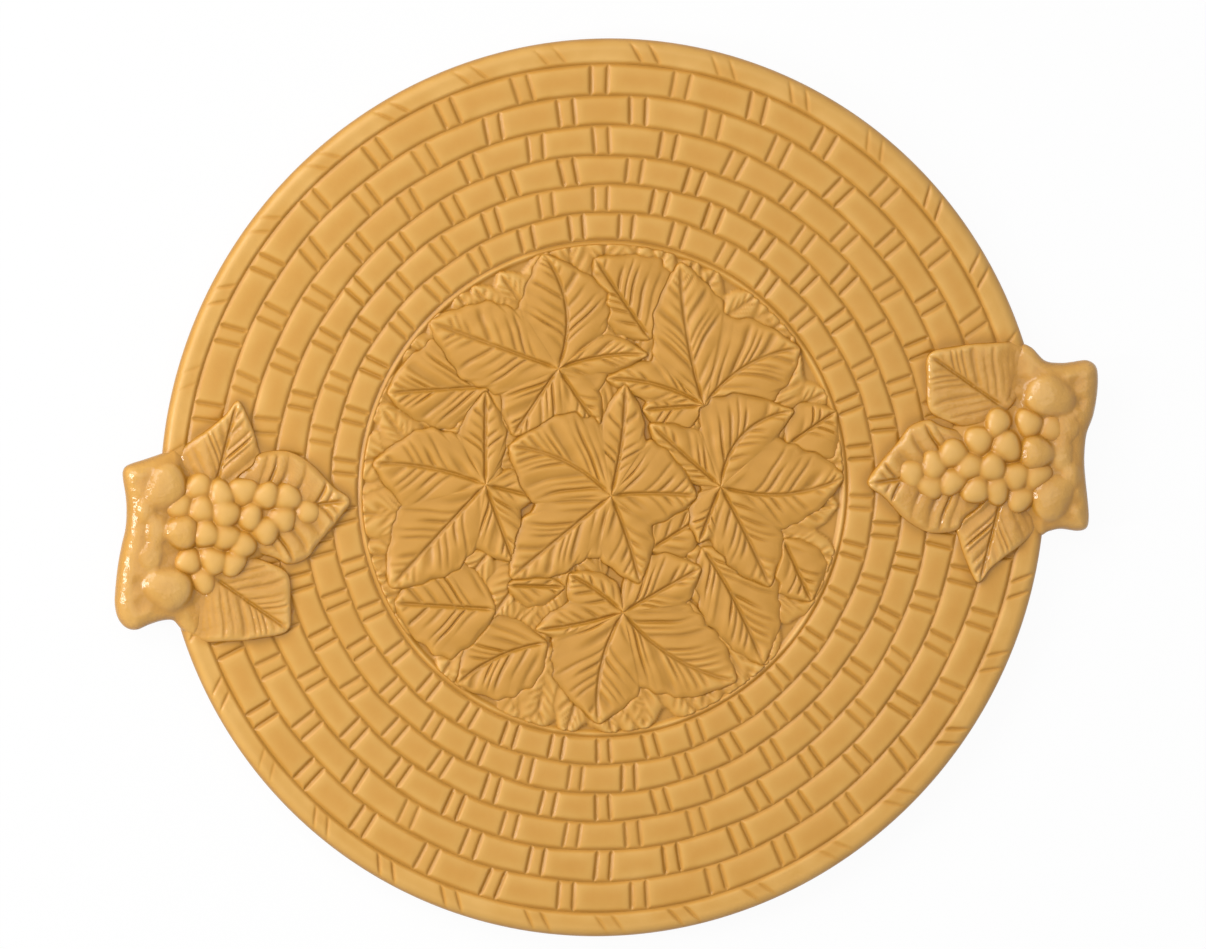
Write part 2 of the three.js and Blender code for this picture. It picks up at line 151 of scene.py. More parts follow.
print("honey glaze in linear numbers:", [round(c, 3) for c in linear("#D9A75C")])

# %% [markdown]
# ## Light and floor
# The photograph has soft studio light: a large lamp at the upper left models the relief, a broad one
# overhead fills the shadows, and a tall narrow one beside the left lug leaves the glints on it. The floor
# and the sky turn white only for the camera and for reflections, so the white background adds no light to
# the board.

# %% Lamps, sky and floor
FLOOR_SIZE = 8.0  # metres
LAMPS = {  # bearing and height above the floor in degrees, distance and size in metres, watts
    "key": (133, 38, 2.8, 1.6, 1.6, 36.0),
    "overhead": (120, 80, 2.2, 2.2, 2.2, 13.0),
    "glint": (176, 33, 1.3, 0.14, 0.6, 6.0),
}
for lamp_name, (bearing, height, distance, wide, tall, watts) in LAMPS.items():
    lamp = bpy.data.objects.new(lamp_name, bpy.data.lights.new(lamp_name, "AREA"))
    lamp.data.shape = "RECTANGLE"
    lamp.data.size = wide
    lamp.data.size_y = tall
    lamp.data.energy = watts
    turn, lift = math.radians(bearing), math.radians(height)
    lamp.location = (
        distance * math.cos(lift) * math.cos(turn),
        distance * math.cos(lift) * math.sin(turn),
        distance * math.sin(lift),
    )
    lamp.rotation_euler = (-lamp.location).to_track_quat("-Z", "Y").to_euler()
    bpy.context.scene.collection.objects.link(lamp)


def seen_directly(tree):
    """One where a ray comes from the camera, a reflection or a clear body, and zero where it carries
    light."""
    path = add_node(tree, "ShaderNodeLightPath")
    mirror = add_node(tree, "ShaderNodeMath", {"operation": "MAXIMUM"}, {
        0: path.outputs["Is Glossy Ray"], 1: path.outputs["Is Transmission Ray"]})
    return add_node(tree, "ShaderNodeMath", {"operation": "MAXIMUM"}, {
        0: path.outputs["Is Camera Ray"], 1: mirror.outputs[0]}).outputs[0]


world = bpy.data.worlds.new("studio")
bpy.context.scene.world = world
tree = new_tree(world)
sky = add_node(tree, "ShaderNodeBackground", None, {"Color": linear("#FFFFFF"), "Strength": 0.3})
white = add_node(tree, "ShaderNodeBackground", None, {"Color": linear("#FFFFFF"), "Strength": 1.0})
mixed = add_node(tree, "ShaderNodeMixShader", None, {
    0: seen_directly(tree), 1: sky.outputs[0], 2: white.outputs[0]})
add_node(tree, "ShaderNodeOutputWorld", None, {"Surface": mixed.outputs[0]})

paper = bpy.data.materials.new("white_backdrop_paper")
tree = new_tree(paper)
grain = add_node(tree, "ShaderNodeTexNoise", None, {"Scale": 900.0, "Detail": 2.0})
tint = add_node(tree, "ShaderNodeMix", {"data_type": "RGBA"}, {
    0: grain.outputs[0], 6: linear("#F4F4F3"), 7: linear("#FAFAFA")})
matt = add_node(tree, "ShaderNodeBsdfDiffuse", None, {"Color": tint.outputs[2]})
glow = add_node(tree, "ShaderNodeEmission", None, {"Color": linear("#FFFFFF"), "Strength": 1.0})
share = add_node(tree, "ShaderNodeMath", {"operation": "MULTIPLY"}, {0: seen_directly(tree), 1: 0.95})
mixed = add_node(tree, "ShaderNodeMixShader", None, {
    0: share.outputs[0], 1: matt.outputs[0], 2: glow.outputs[0]})
add_node(tree, "ShaderNodeOutputMaterial", None, {"Surface": mixed.outputs[0]})

floor_mesh = bpy.data.meshes.new("floor")
half = FLOOR_SIZE / 2
floor_mesh.from_pydata(
    [(-half, -half, 0), (half, -half, 0), (half, half, 0), (-half, half, 0)], [], [(0, 1, 2, 3)]
)
floor = bpy.data.objects.new("floor", floor_mesh)
floor_mesh.materials.append(paper)
bpy.context.scene.collection.objects.link(floor)
print(f"{len(LAMPS)} lamps, a pale sky and a {FLOOR_SIZE:.0f} m floor")

# %% [markdown]
# ## Honey glaze
# A lead-type glaze, stained with iron, over buff earthenware. It is a thin layer of coloured glass: glossy,
# a little uneven where it ran, pale where it pulled off the edges and brown where it stands deep. The depth
# comes from the shape, so each mesh carries a number for every vertex: -1 on a crest and 1 in the bottom of
# a groove. Added to the glaze's depth is painted shade: points low in a broad hollow get a higher number, so
# they are coloured darker as if shade fell there. A colour ramp reads it, and clouds of a few millimetres
# break it up, as in a real firing.

# %% Glaze and bare clay
CREST, THIN, HONEY, DEEP, POOLED = "#E4B05C", "#DAA34B", "#D4993F", "#CA9036", "#B8822B"
BREAK_ORANGE = "#CB984E"  # iron that shows where the glaze is thinnest on the horns and the rim
BARE_CLAY = "#D9BE96"
GLAZE_IOR = 1.48


def honey_glaze(name, gloss, thickness=0.0, dimples=0.12):
    """Glazed earthenware: colour from the attribute of glaze depth with painted shade, mottled by noise;
    dimples are that many mm deep."""
    material = bpy.data.materials.new(name)
    tree = new_tree(material)
    place = add_node(tree, "ShaderNodeTexCoord").outputs["Object"]
    # this attribute holds the glaze's depth plus painted shade in broad hollows
    pool_and_shade = add_node(tree, "ShaderNodeAttribute", {"attribute_name": "pool_and_shade"}).outputs["Fac"]
    clouds = add_node(tree, "ShaderNodeTexNoise", None, {
        "Vector": place, "Scale": 1 / (9 * MM), "Detail": 3.0, "Roughness": 0.55})
    run = add_node(tree, "ShaderNodeMath", {"operation": "MULTIPLY_ADD"}, {
        0: clouds.outputs[0], 1: 0.34, 2: thickness - 0.17})
    depth = add_node(tree, "ShaderNodeMath", {"operation": "ADD"}, {0: pool_and_shade, 1: run.outputs[0]})
    share = add_node(tree, "ShaderNodeMapRange", None, {
        "Value": depth.outputs[0], "From Min": -1.0, "From Max": 1.0})
    ramp = add_node(tree, "ShaderNodeValToRGB", None, {"Fac": share.outputs[0]})
    stops = [(0.12, CREST), (0.36, THIN), (0.5, HONEY), (0.68, DEEP), (0.92, POOLED)]
    while len(ramp.color_ramp.elements) < len(stops):
        ramp.color_ramp.elements.new(0.5)
    for element, (position, colour) in zip(ramp.color_ramp.elements, stops):
        element.position = position
        element.color = linear(colour)
    breaking = add_node(tree, "ShaderNodeAttribute", {"attribute_name": "breaking"}).outputs["Fac"]
    glazed = add_node(tree, "ShaderNodeMix", {"data_type": "RGBA"}, {
        0: breaking, 6: ramp.outputs[0], 7: linear(BREAK_ORANGE)})
    height = add_node(tree, "ShaderNodeSeparateXYZ", None, {0: place}).outputs["Z"]
    wiped = add_node(tree, "ShaderNodeMapRange", {"interpolation_type": "SMOOTHSTEP"}, {
        "Value": height, "From Min": 0.9 * MM, "From Max": 0.4 * MM})
    colour = add_node(tree, "ShaderNodeMix", {"data_type": "RGBA"}, {
        0: wiped.outputs[0], 6: glazed.outputs[2], 7: linear(BARE_CLAY)})
    smears = add_node(tree, "ShaderNodeTexNoise", None, {
        "Vector": place, "Scale": 1 / (26 * MM), "Detail": 2.0})
    sheen = add_node(tree, "ShaderNodeMapRange", None, {
        "Value": smears.outputs[0], "To Min": gloss - 0.05, "To Max": gloss + 0.06})
    rough = add_node(tree, "ShaderNodeMath", {"operation": "MULTIPLY_ADD"}, {
        0: wiped.outputs[0], 1: 0.5, 2: sheen.outputs[0]})
    peel = add_node(
        tree, "ShaderNodeTexNoise", None, {"Vector": place, "Scale": 1 / (3 * MM), "Detail": 2.0}
    )
    bump = add_node(tree, "ShaderNodeBump", None, {
        "Height": peel.outputs[0], "Strength": 0.25, "Distance": dimples * MM})
    shader = add_node(tree, "ShaderNodeBsdfPrincipled", None, {
        "Base Color": colour.outputs[2], "Roughness": rough.outputs[0], "IOR": GLAZE_IOR,
        "Normal": bump.outputs[0]})
    add_node(tree, "ShaderNodeOutputMaterial", None, {"Surface": shader.outputs[0]})
    return material


GLAZES = {
    "glazed_body": honey_glaze("honey_glaze_on_weave", 0.37, 0.0, 0.4),
    "glazed_foot": honey_glaze("honey_glaze_on_foot", 0.34),
    "glazed_leaf": honey_glaze("honey_glaze_on_leaves", 0.4, 0.2, 0.3),
    "glazed_handle": honey_glaze("honey_glaze_on_lugs", 0.19, 0.0, 1.5),
    "glazed_grape": honey_glaze("honey_glaze_on_grapes", 0.32, -0.35, 0.3),
}
print("glazes:", ", ".join(GLAZES))

# %% [markdown]
# ## From a grid of points to a piece
# Every piece here is a grid: rows of points that run from the top outwards and down, and columns that go
# round counter-clockwise. A round body closes at two poles, and a ring closes on itself in both directions.
# The points are computed as whole arrays and put into the mesh in one go, which is far quicker than adding
# vertices one by one.

# %% Grid to mesh
SHAPES = []  # each piece's mesh and points, kept for the glaze


def glazed_piece(name, rows, slot, nodes=(), ring=False):
    """A closed mesh from rows of points (row, column, xyz) in millimetres. Faces join each point to the
    next
    row and the next column; a ring also joins its last row to its first, and a body gets a pole at each
    end."""
    count, around = rows.shape[:2]
    points = rows.reshape(-1, 3)
    index = np.arange(count * around).reshape(count, around)
    beside = np.roll(index, -1, axis=1)
    if ring:
        index, beside = np.vstack([index, index[:1]]), np.vstack([beside, beside[:1]])
    quads = np.stack([index[:-1], index[1:], beside[1:], beside[:-1]], axis=-1).reshape(-1, 4)
    corners, sizes = quads.ravel(), np.full(len(quads), 4)
    if not ring:
        top, bottom = len(points), len(points) + 1
        points = np.vstack([points, rows[0].mean(axis=0), rows[-1].mean(axis=0)])
        caps = np.vstack([
            np.stack([np.full(around, top), index[0], beside[0]], axis=-1),
            np.stack([np.full(around, bottom), beside[-1], index[-1]], axis=-1),
        ])
        corners, sizes = np.concatenate([corners, caps.ravel()]), np.concatenate(
            [sizes, np.full(len(caps), 3)]
        )
    return piece_from_faces(name, points, corners, sizes, slot, nodes)


def piece_from_faces(name, points, corners, sizes, slot, nodes):
    """Puts points and faces into a smooth mesh object that rides on the body and stands for its CAD
    nodes."""
    mesh = bpy.data.meshes.new(name)
    mesh.vertices.add(len(points))
    mesh.vertices.foreach_set("co", (points * MM).astype(np.float32).ravel())
    mesh.loops.add(len(corners))
    mesh.loops.foreach_set("vertex_index", corners.astype(np.int32))
    mesh.polygons.add(len(sizes))
    mesh.polygons.foreach_set("loop_start", (np.cumsum(sizes) - sizes).astype(np.int32))
    mesh.update(calc_edges=True)
    mesh.polygons.foreach_set("use_smooth", np.ones(len(sizes), bool))
    mesh.materials.append(GLAZES[slot])
    piece = bpy.data.objects.new(name, mesh)
    bpy.context.scene.collection.objects.link(piece)
    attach(piece, "root")
    if nodes:
        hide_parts(*nodes)
    SHAPES.append((mesh, points))
    return piece


def smooth_step(value, low, high):
    """Zero below low, one above high, and 3t^2 - 2t^3 between them."""
    t = np.clip((value - low) / (high - low), 0, 1)
    return t * t * (3 - 2 * t)


def round_edge(inside, width):
    """A quarter circle: zero on the edge, rising to one at a distance of width inside it."""
    t = np.clip(inside / width, 0, 1)
    return np.sqrt(1 - (1 - t) ** 2)


def polar_rows(radius, bearing, height):
    """Points from radius, bearing and height arrays of one shape, or of shapes that spread to one."""
    radius, bearing, height = np.broadcast_arrays(radius, bearing, height)
    return np.stack([radius * np.cos(bearing), radius * np.sin(bearing), height], axis=-1)


print("grid helpers ready")

# %% [markdown]
# ## The woven field
# Six bands of weave ring the medallion. In each, long stakes are parted by pairs of fine grooves with a
# short bar between them, and every second band is turned by half a stake. A displacement picture could draw
# this, but then the grooves would be only as sharp as its pixels. Here each band is a closed ring whose
# columns crowd together at the grooves, so that the mesh itself has their edges. The potter cut the mould
# by hand: the stakes drift round the board, and each bar leans a little in its own way.

# %% Sizes of the weave
BAND_EDGES = np.array([91.3, 101.3, 111.7, 122.2, 133.0, 144.3, 155.6])
STAKES = 33
PITCH = 2 * math.pi / STAKES
BAR_HALF = 2.5  # half the width of a bar in the first band, and its growth from band to band
BAR_GROWTH = 0.1
BAND_PHASES = np.radians([1.5, -4.0])
GROOVE_DEPTH = 0.8
GROOVE_SPREAD = 0.84  # distance at which a groove has lost two thirds of its depth
DRIFT_MEAN = 1.62
# degrees, waves round the board, start in degrees
DRIFT = [(1.82, 1, -88), (0.31, 2, 120), (0.27, 3, -178)]
hand = np.random.default_rng(7)


def hand_drift(bearing):
    """How far the hand-cut stakes have drifted: a mean, plus three slow sine waves round the board."""
    waves = sum(size * np.sin(count * bearing + math.radians(start)) for size, count, start in DRIFT)
    return np.radians(DRIFT_MEAN + waves)


def ring_wobble(edge, bearing):
    """How far a ring groove wanders from its circle: two sine waves whose start depends on the groove. The
    innermost and the outermost groove meet the lip and the rim, and stay true."""
    if edge in (0, len(BAND_EDGES) - 1):
        return np.zeros_like(bearing)
    return 0.2 * np.sin(5 * bearing + 1.7 * edge) + 0.16 * np.sin(19 * bearing + 2.9 * edge)


def per_stake(spread, places):
    """One random value for each stake, held across its bar and blended along the stake to the next bar."""
    values = hand.normal(0, spread, STAKES)
    knots = np.concatenate([np.arange(STAKES) - 0.25, np.arange(STAKES) + 0.25])
    order = np.argsort(knots)
    return np.interp(places, knots[order], np.tile(values, 2)[order], period=STAKES)


def crowded_places(groove_places, reach, stake_steps):
    """Places along one pitch, in shares of it: ten round each groove, three on the bar, the rest on the
    stake."""
    near = np.array([-1.7, -1.1, -0.75, -0.45, -0.15, 0.15, 0.45, 0.75, 1.1, 1.7]) * reach
    grooves = np.concatenate([place + near for place in groove_places])
    bar = np.linspace(grooves[9], grooves[10], 5)[1:-1]
    stake = np.linspace(grooves[-1], 1 + grooves[0], stake_steps + 2)[1:-1]
    return np.sort(np.concatenate([grooves, bar, stake]))


# %% Six woven bands
def woven_band(number):
    """A ring of weave. Height is the top of the field, less a bell-shaped groove on each side of every bar
    and
    along both edges of the band; bearing is pitch times place, plus drift, jitter and lean."""
    inner, outer = BAND_EDGES[number], BAND_EDGES[number + 1]
    width = outer - inner
    middle = (inner + outer) / 2
    half_share = (BAR_HALF + BAR_GROWTH * number) / (middle * PITCH)
    share = crowded_places([-half_share, half_share], 1.0 / (middle * PITCH), 9)
    places = (np.arange(STAKES)[:, None] + share).ravel()
    offset = np.tile(share, STAKES)
    offset = np.where(offset > 0.5, offset - 1, offset)
    bearing = BAND_PHASES[number % 2] + places * PITCH
    bearing = bearing + hand_drift(bearing) + per_stake(math.radians(0.22), places)
    lean = per_stake(math.radians(0.35), places)
    across = np.array([0.02, 0.12, 0.26, 0.45, 0.7, 1.0, 1.5])
    across = np.concatenate([across, np.linspace(2.2, width - 2.2, 7), width - across[::-1]])[:, None]
    from_groove = (np.abs(offset) - half_share) * PITCH * (inner + across)
    cut = GROOVE_DEPTH * (1 + per_stake(0.14, places)) * np.exp(-((from_groove / GROOVE_SPREAD) ** 2))
    from_edge = np.minimum(across, width - across)
    cut = np.maximum(cut, GROOVE_DEPTH * np.exp(-((from_edge / GROOVE_SPREAD) ** 2)))
    bar_drop = smooth_step(
        half_share - np.abs(offset), -0.01, 0.02
    ) * (0.12 + 0.2 * (offset / half_share) ** 2)
    crown = 0.2 * (1 - (2 * across / width - 1) ** 2) + per_stake(0.07, places) - 0.12
    height = FIELD_TOP + (crown - bar_drop) * smooth_step(from_edge, 0.2, 1.6) - cut
    leaning = bearing + lean * (across / width - 0.5)
    out = across / width
    wobble = (1 - out) * ring_wobble(number, leaning) + out * ring_wobble(number + 1, leaning)
    rows = polar_rows(inner + across + wobble, leaning, height)
    under = polar_rows(np.array([[outer - 0.02], [inner + 0.02]]), bearing, FIELD_TOP - 2.4)
    return np.concatenate([rows, under])


for band in range(len(BAND_EDGES) - 1):
    rows = woven_band(band)
    glazed_piece(f"woven_band_{band + 1}", rows, "glazed_body", ring=True)
print(f"{len(BAND_EDGES) - 1} bands of {rows.shape[1]} columns and {rows.shape[0]} rows")

# %% [markdown]
# ## The bound rim
# Outside the weave a smooth rim rolls over the edge, marked with pairs of slanting strokes like the binding
# of a basket. It is one ring: a rounded section carried round the board, with the strokes pressed into it.

# %% Rim
FIELD_RADIUS = BAND_EDGES[-1]
RIM_WIDTH = PLATE_RADIUS - FIELD_RADIUS
RIM_ROUND = 3.6
RIM_UNDER = FIELD_TOP - 6.6
RIM_UNDERCUT = 6.0
RIM_OFFSET = 0.8  # the edge was trimmed by hand, this far off the middle towards the right handle
STROKE_SLANT = math.radians(2.2)
STROKE_HALF = math.radians(1.15)
STROKE_PHASE = math.radians(1.2)
STROKE_DEPTH = 0.5
STROKE_SPREAD = 0.8


def rim_section():
    """Radius and height from the inner groove, over the crown and the quarter round, to the underside."""
    rise = np.array([0.02, 0.15, 0.3, 0.5, 0.75, 1.05])
    inside = np.stack([
        FIELD_RADIUS + rise, FIELD_TOP - GROOVE_DEPTH * np.exp(-((rise / GROOVE_SPREAD) ** 2))], axis=-1)
    flat = np.linspace(FIELD_RADIUS + 1.5, PLATE_RADIUS - RIM_ROUND, 9)
    crown = np.stack([flat, np.full(len(flat), FIELD_TOP)], axis=-1)
    turn = np.linspace(0, math.pi / 2, 9)[1:]
    widest = FIELD_TOP - RIM_ROUND
    over = np.stack(
        [PLATE_RADIUS - RIM_ROUND * (1 - np.sin(turn)), widest + RIM_ROUND * np.cos(turn)], axis=-1
    )
    under = np.stack([
        PLATE_RADIUS - RIM_UNDERCUT * (1 - np.cos(turn)), widest - (
            widest - RIM_UNDER
        ) * np.sin(turn)], axis=-1)
    inner = np.array([[FIELD_RADIUS + 0.5, RIM_UNDER - 0.1], [FIELD_RADIUS + 0.03, RIM_UNDER + 1]])
    return np.concatenate([inside, crown, over, under, inner])


def bound_rim():
    """The section carried round the board; each stroke is a bell-shaped groove whose bearing leans with the
    radius, at its deepest on the crown and fading towards both edges of the rim."""
    section = rim_section()
    share = crowded_places([-STROKE_HALF / PITCH, STROKE_HALF / PITCH], 1.2 / (PLATE_RADIUS * PITCH), 9)
    places = (np.arange(STAKES)[:, None] + share).ravel()
    offset = np.tile(share, STAKES)
    offset = np.where(offset > 0.5, offset - 1, offset)
    bearing = STROKE_PHASE + places * PITCH
    bearing = bearing + hand_drift(bearing) + per_stake(math.radians(0.5), places)
    radius, height = section[:, :1], section[:, 1:]
    slant = STROKE_SLANT * (radius - FIELD_RADIUS) / RIM_WIDTH
    from_stroke = (np.abs(offset) - STROKE_HALF / PITCH) * PITCH * radius
    strength = np.clip(1 + per_stake(0.35, places), 0.25, 1.5)
    fade = smooth_step(
        radius, FIELD_RADIUS + 0.5, FIELD_RADIUS + 2
    ) * smooth_step(PLATE_RADIUS - radius, 0.3, 3)
    fade = fade * (height > FIELD_TOP - RIM_ROUND)
    drop = STROKE_DEPTH * strength * fade * np.exp(-((from_stroke / STROKE_SPREAD) ** 2))
    turned = bearing + slant
    trimmed = RIM_OFFSET * np.cos(turned) * np.clip((radius - FIELD_RADIUS) / RIM_WIDTH, 0, 1) ** 2
    return polar_rows(radius + trimmed, turned, height - drop)


rows = bound_rim()
glazed_piece("bound_rim", rows, "glazed_body", ring=True)
print(f"rim of {rows.shape[0]} rows and {rows.shape[1]} columns")

# %% [markdown]
# ## Vine leaves as formulas
# A vine leaf has five lobes that spread from its stem. Each lobe is a pointed oval with its own width on
# either side of a middle vein, which may bow. Seen from the stem, a leaf is a single-valued shape: for
# every bearing there is one distance to its edge. That makes it a polar grid. Sculpting by hand would be
# freer, but a formula keeps the edge, the middle veins and the herringbone of side veins in step.

# %% Outline of a leaf
OUTLINE_STEPS = 720
TURNS = np.linspace(-math.pi, math.pi, OUTLINE_STEPS, endpoint=False)
SHOULDER = 0.45  # where a lobe is widest, as a share of its length
WIDEN = 1.16  # the measured widths leave out the rounded margin
WEB = 0.58  # how far the blade reaches between two lobes, as a share of their length


def ray_reach(outline, heart):
    """For every turn, the farthest point at which a ray from the heart crosses a closed outline."""
    spokes = outline - heart
    turn, reach = np.arctan2(spokes[:, 1], spokes[:, 0]), np.hypot(spokes[:, 0], spokes[:, 1])
    swing = (np.roll(turn, -1) - turn + math.pi) % (2 * math.pi) - math.pi
    step = (TURNS[:, None] - turn + math.pi) % (2 * math.pi) - math.pi
    share = step / np.where(np.abs(swing) < 1e-9, 1e-9, swing)
    crossed = (share >= 0) & (share <= 1)
    return np.where(crossed, reach + share * (np.roll(reach, -1) - reach), 0).max(axis=1)


def closed_curve(points, steps=12):
    """A smooth closed curve through points: cubic pieces whose slope at a point is half the way between its
    neighbours."""
    points = np.array(points, float)
    before, after, next_one = np.roll(points, 1, axis=0), np.roll(points, -1, axis=0), np.roll(
        points, -2, axis=0
    )
    t = np.linspace(0, 1, steps, endpoint=False)[:, None, None]
    curve = points + t / 2 * (after - before)
    curve = curve + t**2 * (before - 2.5 * points + 2 * after - next_one / 2)
    curve = curve + t**3 / 2 * (3 * points - before - 3 * after + next_one)
    return curve.transpose(1, 0, 2).reshape(-1, 2)


def lobe_swell(share):
    """Half-width of a lobe as a share of its widest: a sine up to the shoulder, then a cosine to the
    tip."""
    up = np.sin(np.clip(share / SHOULDER, 0, 1) * math.pi / 2) ** 0.7
    down = np.cos(np.clip((share - SHOULDER) / (1 - SHOULDER), 0, 1) * math.pi / 2) ** 0.8
    return np.where(share < SHOULDER, up, down)


def lobe_outline(stem, lobe):
    """Points round a lobe: along its axis from 0 to its length and back, out by its swell and by its
    bow."""
    bearing, length, left, right, bow = lobe
    share = np.concatenate([np.linspace(0, 1, 60), np.linspace(1, 0, 60)[1:-1]])
    side = WIDEN * np.concatenate([np.full(60, -right), np.full(58, left)])
    teeth = 1 + 0.035 * np.sin(share * length / 1.1 + bearing) + 0.04 * np.sin(
        share * length / 2.7 + 2 * length
    )
    across = side * lobe_swell(share) * teeth + bow * 4 * share * (1 - share)
    cos, sin = math.cos(math.radians(bearing)), math.sin(math.radians(bearing))
    along = share * length
    return np.stack([stem[0] + along * cos - across * sin, stem[1] + along * sin + across * cos], axis=-1)


def blade_reach(lobes):
    """Reach of the blade between lobes: a share of the lobes' lengths on either side, blended by bearing,
    and
    none where neighbours stand far apart."""
    bearing = np.radians([lobe[0] for lobe in lobes]) % (2 * math.pi)
    order = np.argsort(bearing)
    bearing, length = bearing[order], np.array([lobe[1] for lobe in lobes])[order]
    after = np.searchsorted(bearing, TURNS % (2 * math.pi)) % len(bearing)
    gap = (bearing[after] - bearing[after - 1]) % (2 * math.pi)
    between = np.interp(TURNS, bearing, length, period=2 * math.pi)
    return WEB * between * (1 - 0.75 * smooth_step(gap, math.radians(75), math.radians(125)))


def leaf_shape(stem, lobes, outline=None):
    """A leaf's heart and, for every turn round it, the reach of its edge and of each lobe. The heart of a
    leaf
    with several lobes is its stem; that of a single lobe lies two fifths along its middle vein."""
    stem = np.array(stem, float)
    lobes = [tuple(lobe) + (0,) * (5 - len(lobe)) for lobe in lobes]
    heart = stem
    if len(lobes) == 1 or outline is not None:
        axis = math.radians(lobes[0][0])
        bow = lobes[0][4] * 4 * 0.4 * 0.6
        heart = heart + 0.4 * lobes[0][1] * np.array([math.cos(axis), math.sin(axis)])
        heart = heart + bow * np.array([-math.sin(axis), math.cos(axis)])
    reaches = np.array([ray_reach(lobe_outline(stem, lobe), heart) for lobe in lobes])
    if outline is not None:
        reach = ray_reach(closed_curve(outline), heart)
    elif len(lobes) > 1:
        reach = np.maximum(reaches.max(axis=0), blade_reach(lobes))
    else:
        reach = reaches[0]
    reach = np.maximum(softened(reach, 150), 2.0)
    slope = (np.roll(reach, -1) - np.roll(reach, 1)) / (2 * (TURNS[1] - TURNS[0])) / reach
    steep = np.minimum(np.sqrt(1 + slope**2), 3.5)
    return {
        "stem": stem, "heart": heart, "lobes": lobes, "reaches": reaches, "reach": reach, "steep": steep
    }


def softened(reach, waves):
    """A closed outline without its finest waves: its Fourier terms fade as a bell over the given number."""
    terms = np.fft.rfft(reach)
    return np.fft.irfft(terms * np.exp(-((np.arange(len(terms)) / waves) ** 2)), len(reach))


def depth_inside(leaf, x, y):
    """Rough distance inside a leaf's edge: the way left along the ray from its heart, over the edge's
    slope."""
    turn = np.arctan2(y - leaf["heart"][1], x - leaf["heart"][0])
    reach = np.interp(turn, TURNS, leaf["reach"], period=2 * math.pi)
    steep = np.interp(turn, TURNS, leaf["steep"], period=2 * math.pi)
    return (reach - np.hypot(x - leaf["heart"][0], y - leaf["heart"][1])) / steep


print("leaf outlines:", OUTLINE_STEPS, "turns each")

# %% [markdown]
# The relief of a leaf follows its lobes. Each half of a lobe is a low pillow, the middle vein is a clean
# groove, and side veins leave it at an angle like the barbs of a feather. Where two lobes meet, their
# reliefs are blended, so no seam shows. Where another leaf lies on top, the surface dives below it.

# %% Relief of a leaf
# side veins: pitch, angle in degrees, depth, spread, smooth side, and swell of the blade between two of
# them
VEINS = (5.2, 40.0, 0.85, 0.62, 0, 0.08)
MIDVEIN_DEPTH, MIDVEIN_SPREAD = 0.75, 0.7
PILLOW = 0.55  # of each half of a lobe
LEAF_EDGE = 2.4
EDGE_SHARE = 0.38  # how much of a leaf's height stands up at its edge


def lobe_relief(leaf, lobe, x, y, edge, phase, veins):
    """Height of one lobe over its leaf: a pillow on each side of the middle vein, less a bell-shaped groove
    along that vein; on it, side veins at a fixed angle and pitch, with a low arch of blade between them."""
    bearing, length, left, right, bow = lobe
    axis = math.radians(bearing)
    dx, dy = x - leaf["stem"][0], y - leaf["stem"][1]
    along = dx * math.cos(axis) + dy * math.sin(axis)
    share = np.clip(along / length, 0, 1)
    across = dy * math.cos(axis) - dx * math.sin(axis) - bow * 4 * share * (1 - share)
    half = np.where(across > 0, left, right) * np.maximum(lobe_swell(share), 0.2)
    away = np.abs(across)
    out = np.clip(away / half, 0, 1)
    pillow = PILLOW * np.sin(math.pi * out**0.8)
    mid_fade = smooth_step(along, 1.5, 4) * (1 - smooth_step(share, 0.86, 0.98))
    midvein = MIDVEIN_DEPTH * np.exp(-((across / MIDVEIN_SPREAD) ** 2)) * mid_fade
    pitch, angle, depth, spread, smooth_side, swell = veins
    slant = math.radians(angle + 8 * math.sin(7 * phase))
    course = along - away / math.tan(slant) * (1 - 0.012 * away) + 0.3 * np.sin(
        away / 3 + along / 5 + 5 * phase
    )
    uneven = 0.3 * np.sin(course / 3.7 + 9 * phase) + 0.15 * np.sin(course / 2.1 + 4 * phase)
    count = course / pitch + uneven + phase + 0.35 * (across > 0)
    place = count - np.floor(count) - 0.5
    end = 0.75 + 0.25 * np.sin(3.7 * np.floor(count) + 5 * phase)
    pressed = 0.72 + 0.28 * np.sin(2.3 * np.floor(count) + 9 * phase)
    pressed = pressed * (1 - smooth_step(out, end - 0.3, end + 0.2))
    groove = depth * pressed * np.exp(-((place * pitch * math.sin(slant) / spread) ** 2))
    arch = swell * (1 - (1 - 2 * np.abs(place)) ** 2)
    vein_fade = smooth_step(away, 0.3, 1.6) * smooth_step(edge, 0.3, 2.4) * smooth_step(along, 2, 8)
    vein_fade = vein_fade * np.where(across * smooth_side > 0, 0.55, 1)
    return pillow - midvein + (arch - groove) * vein_fade


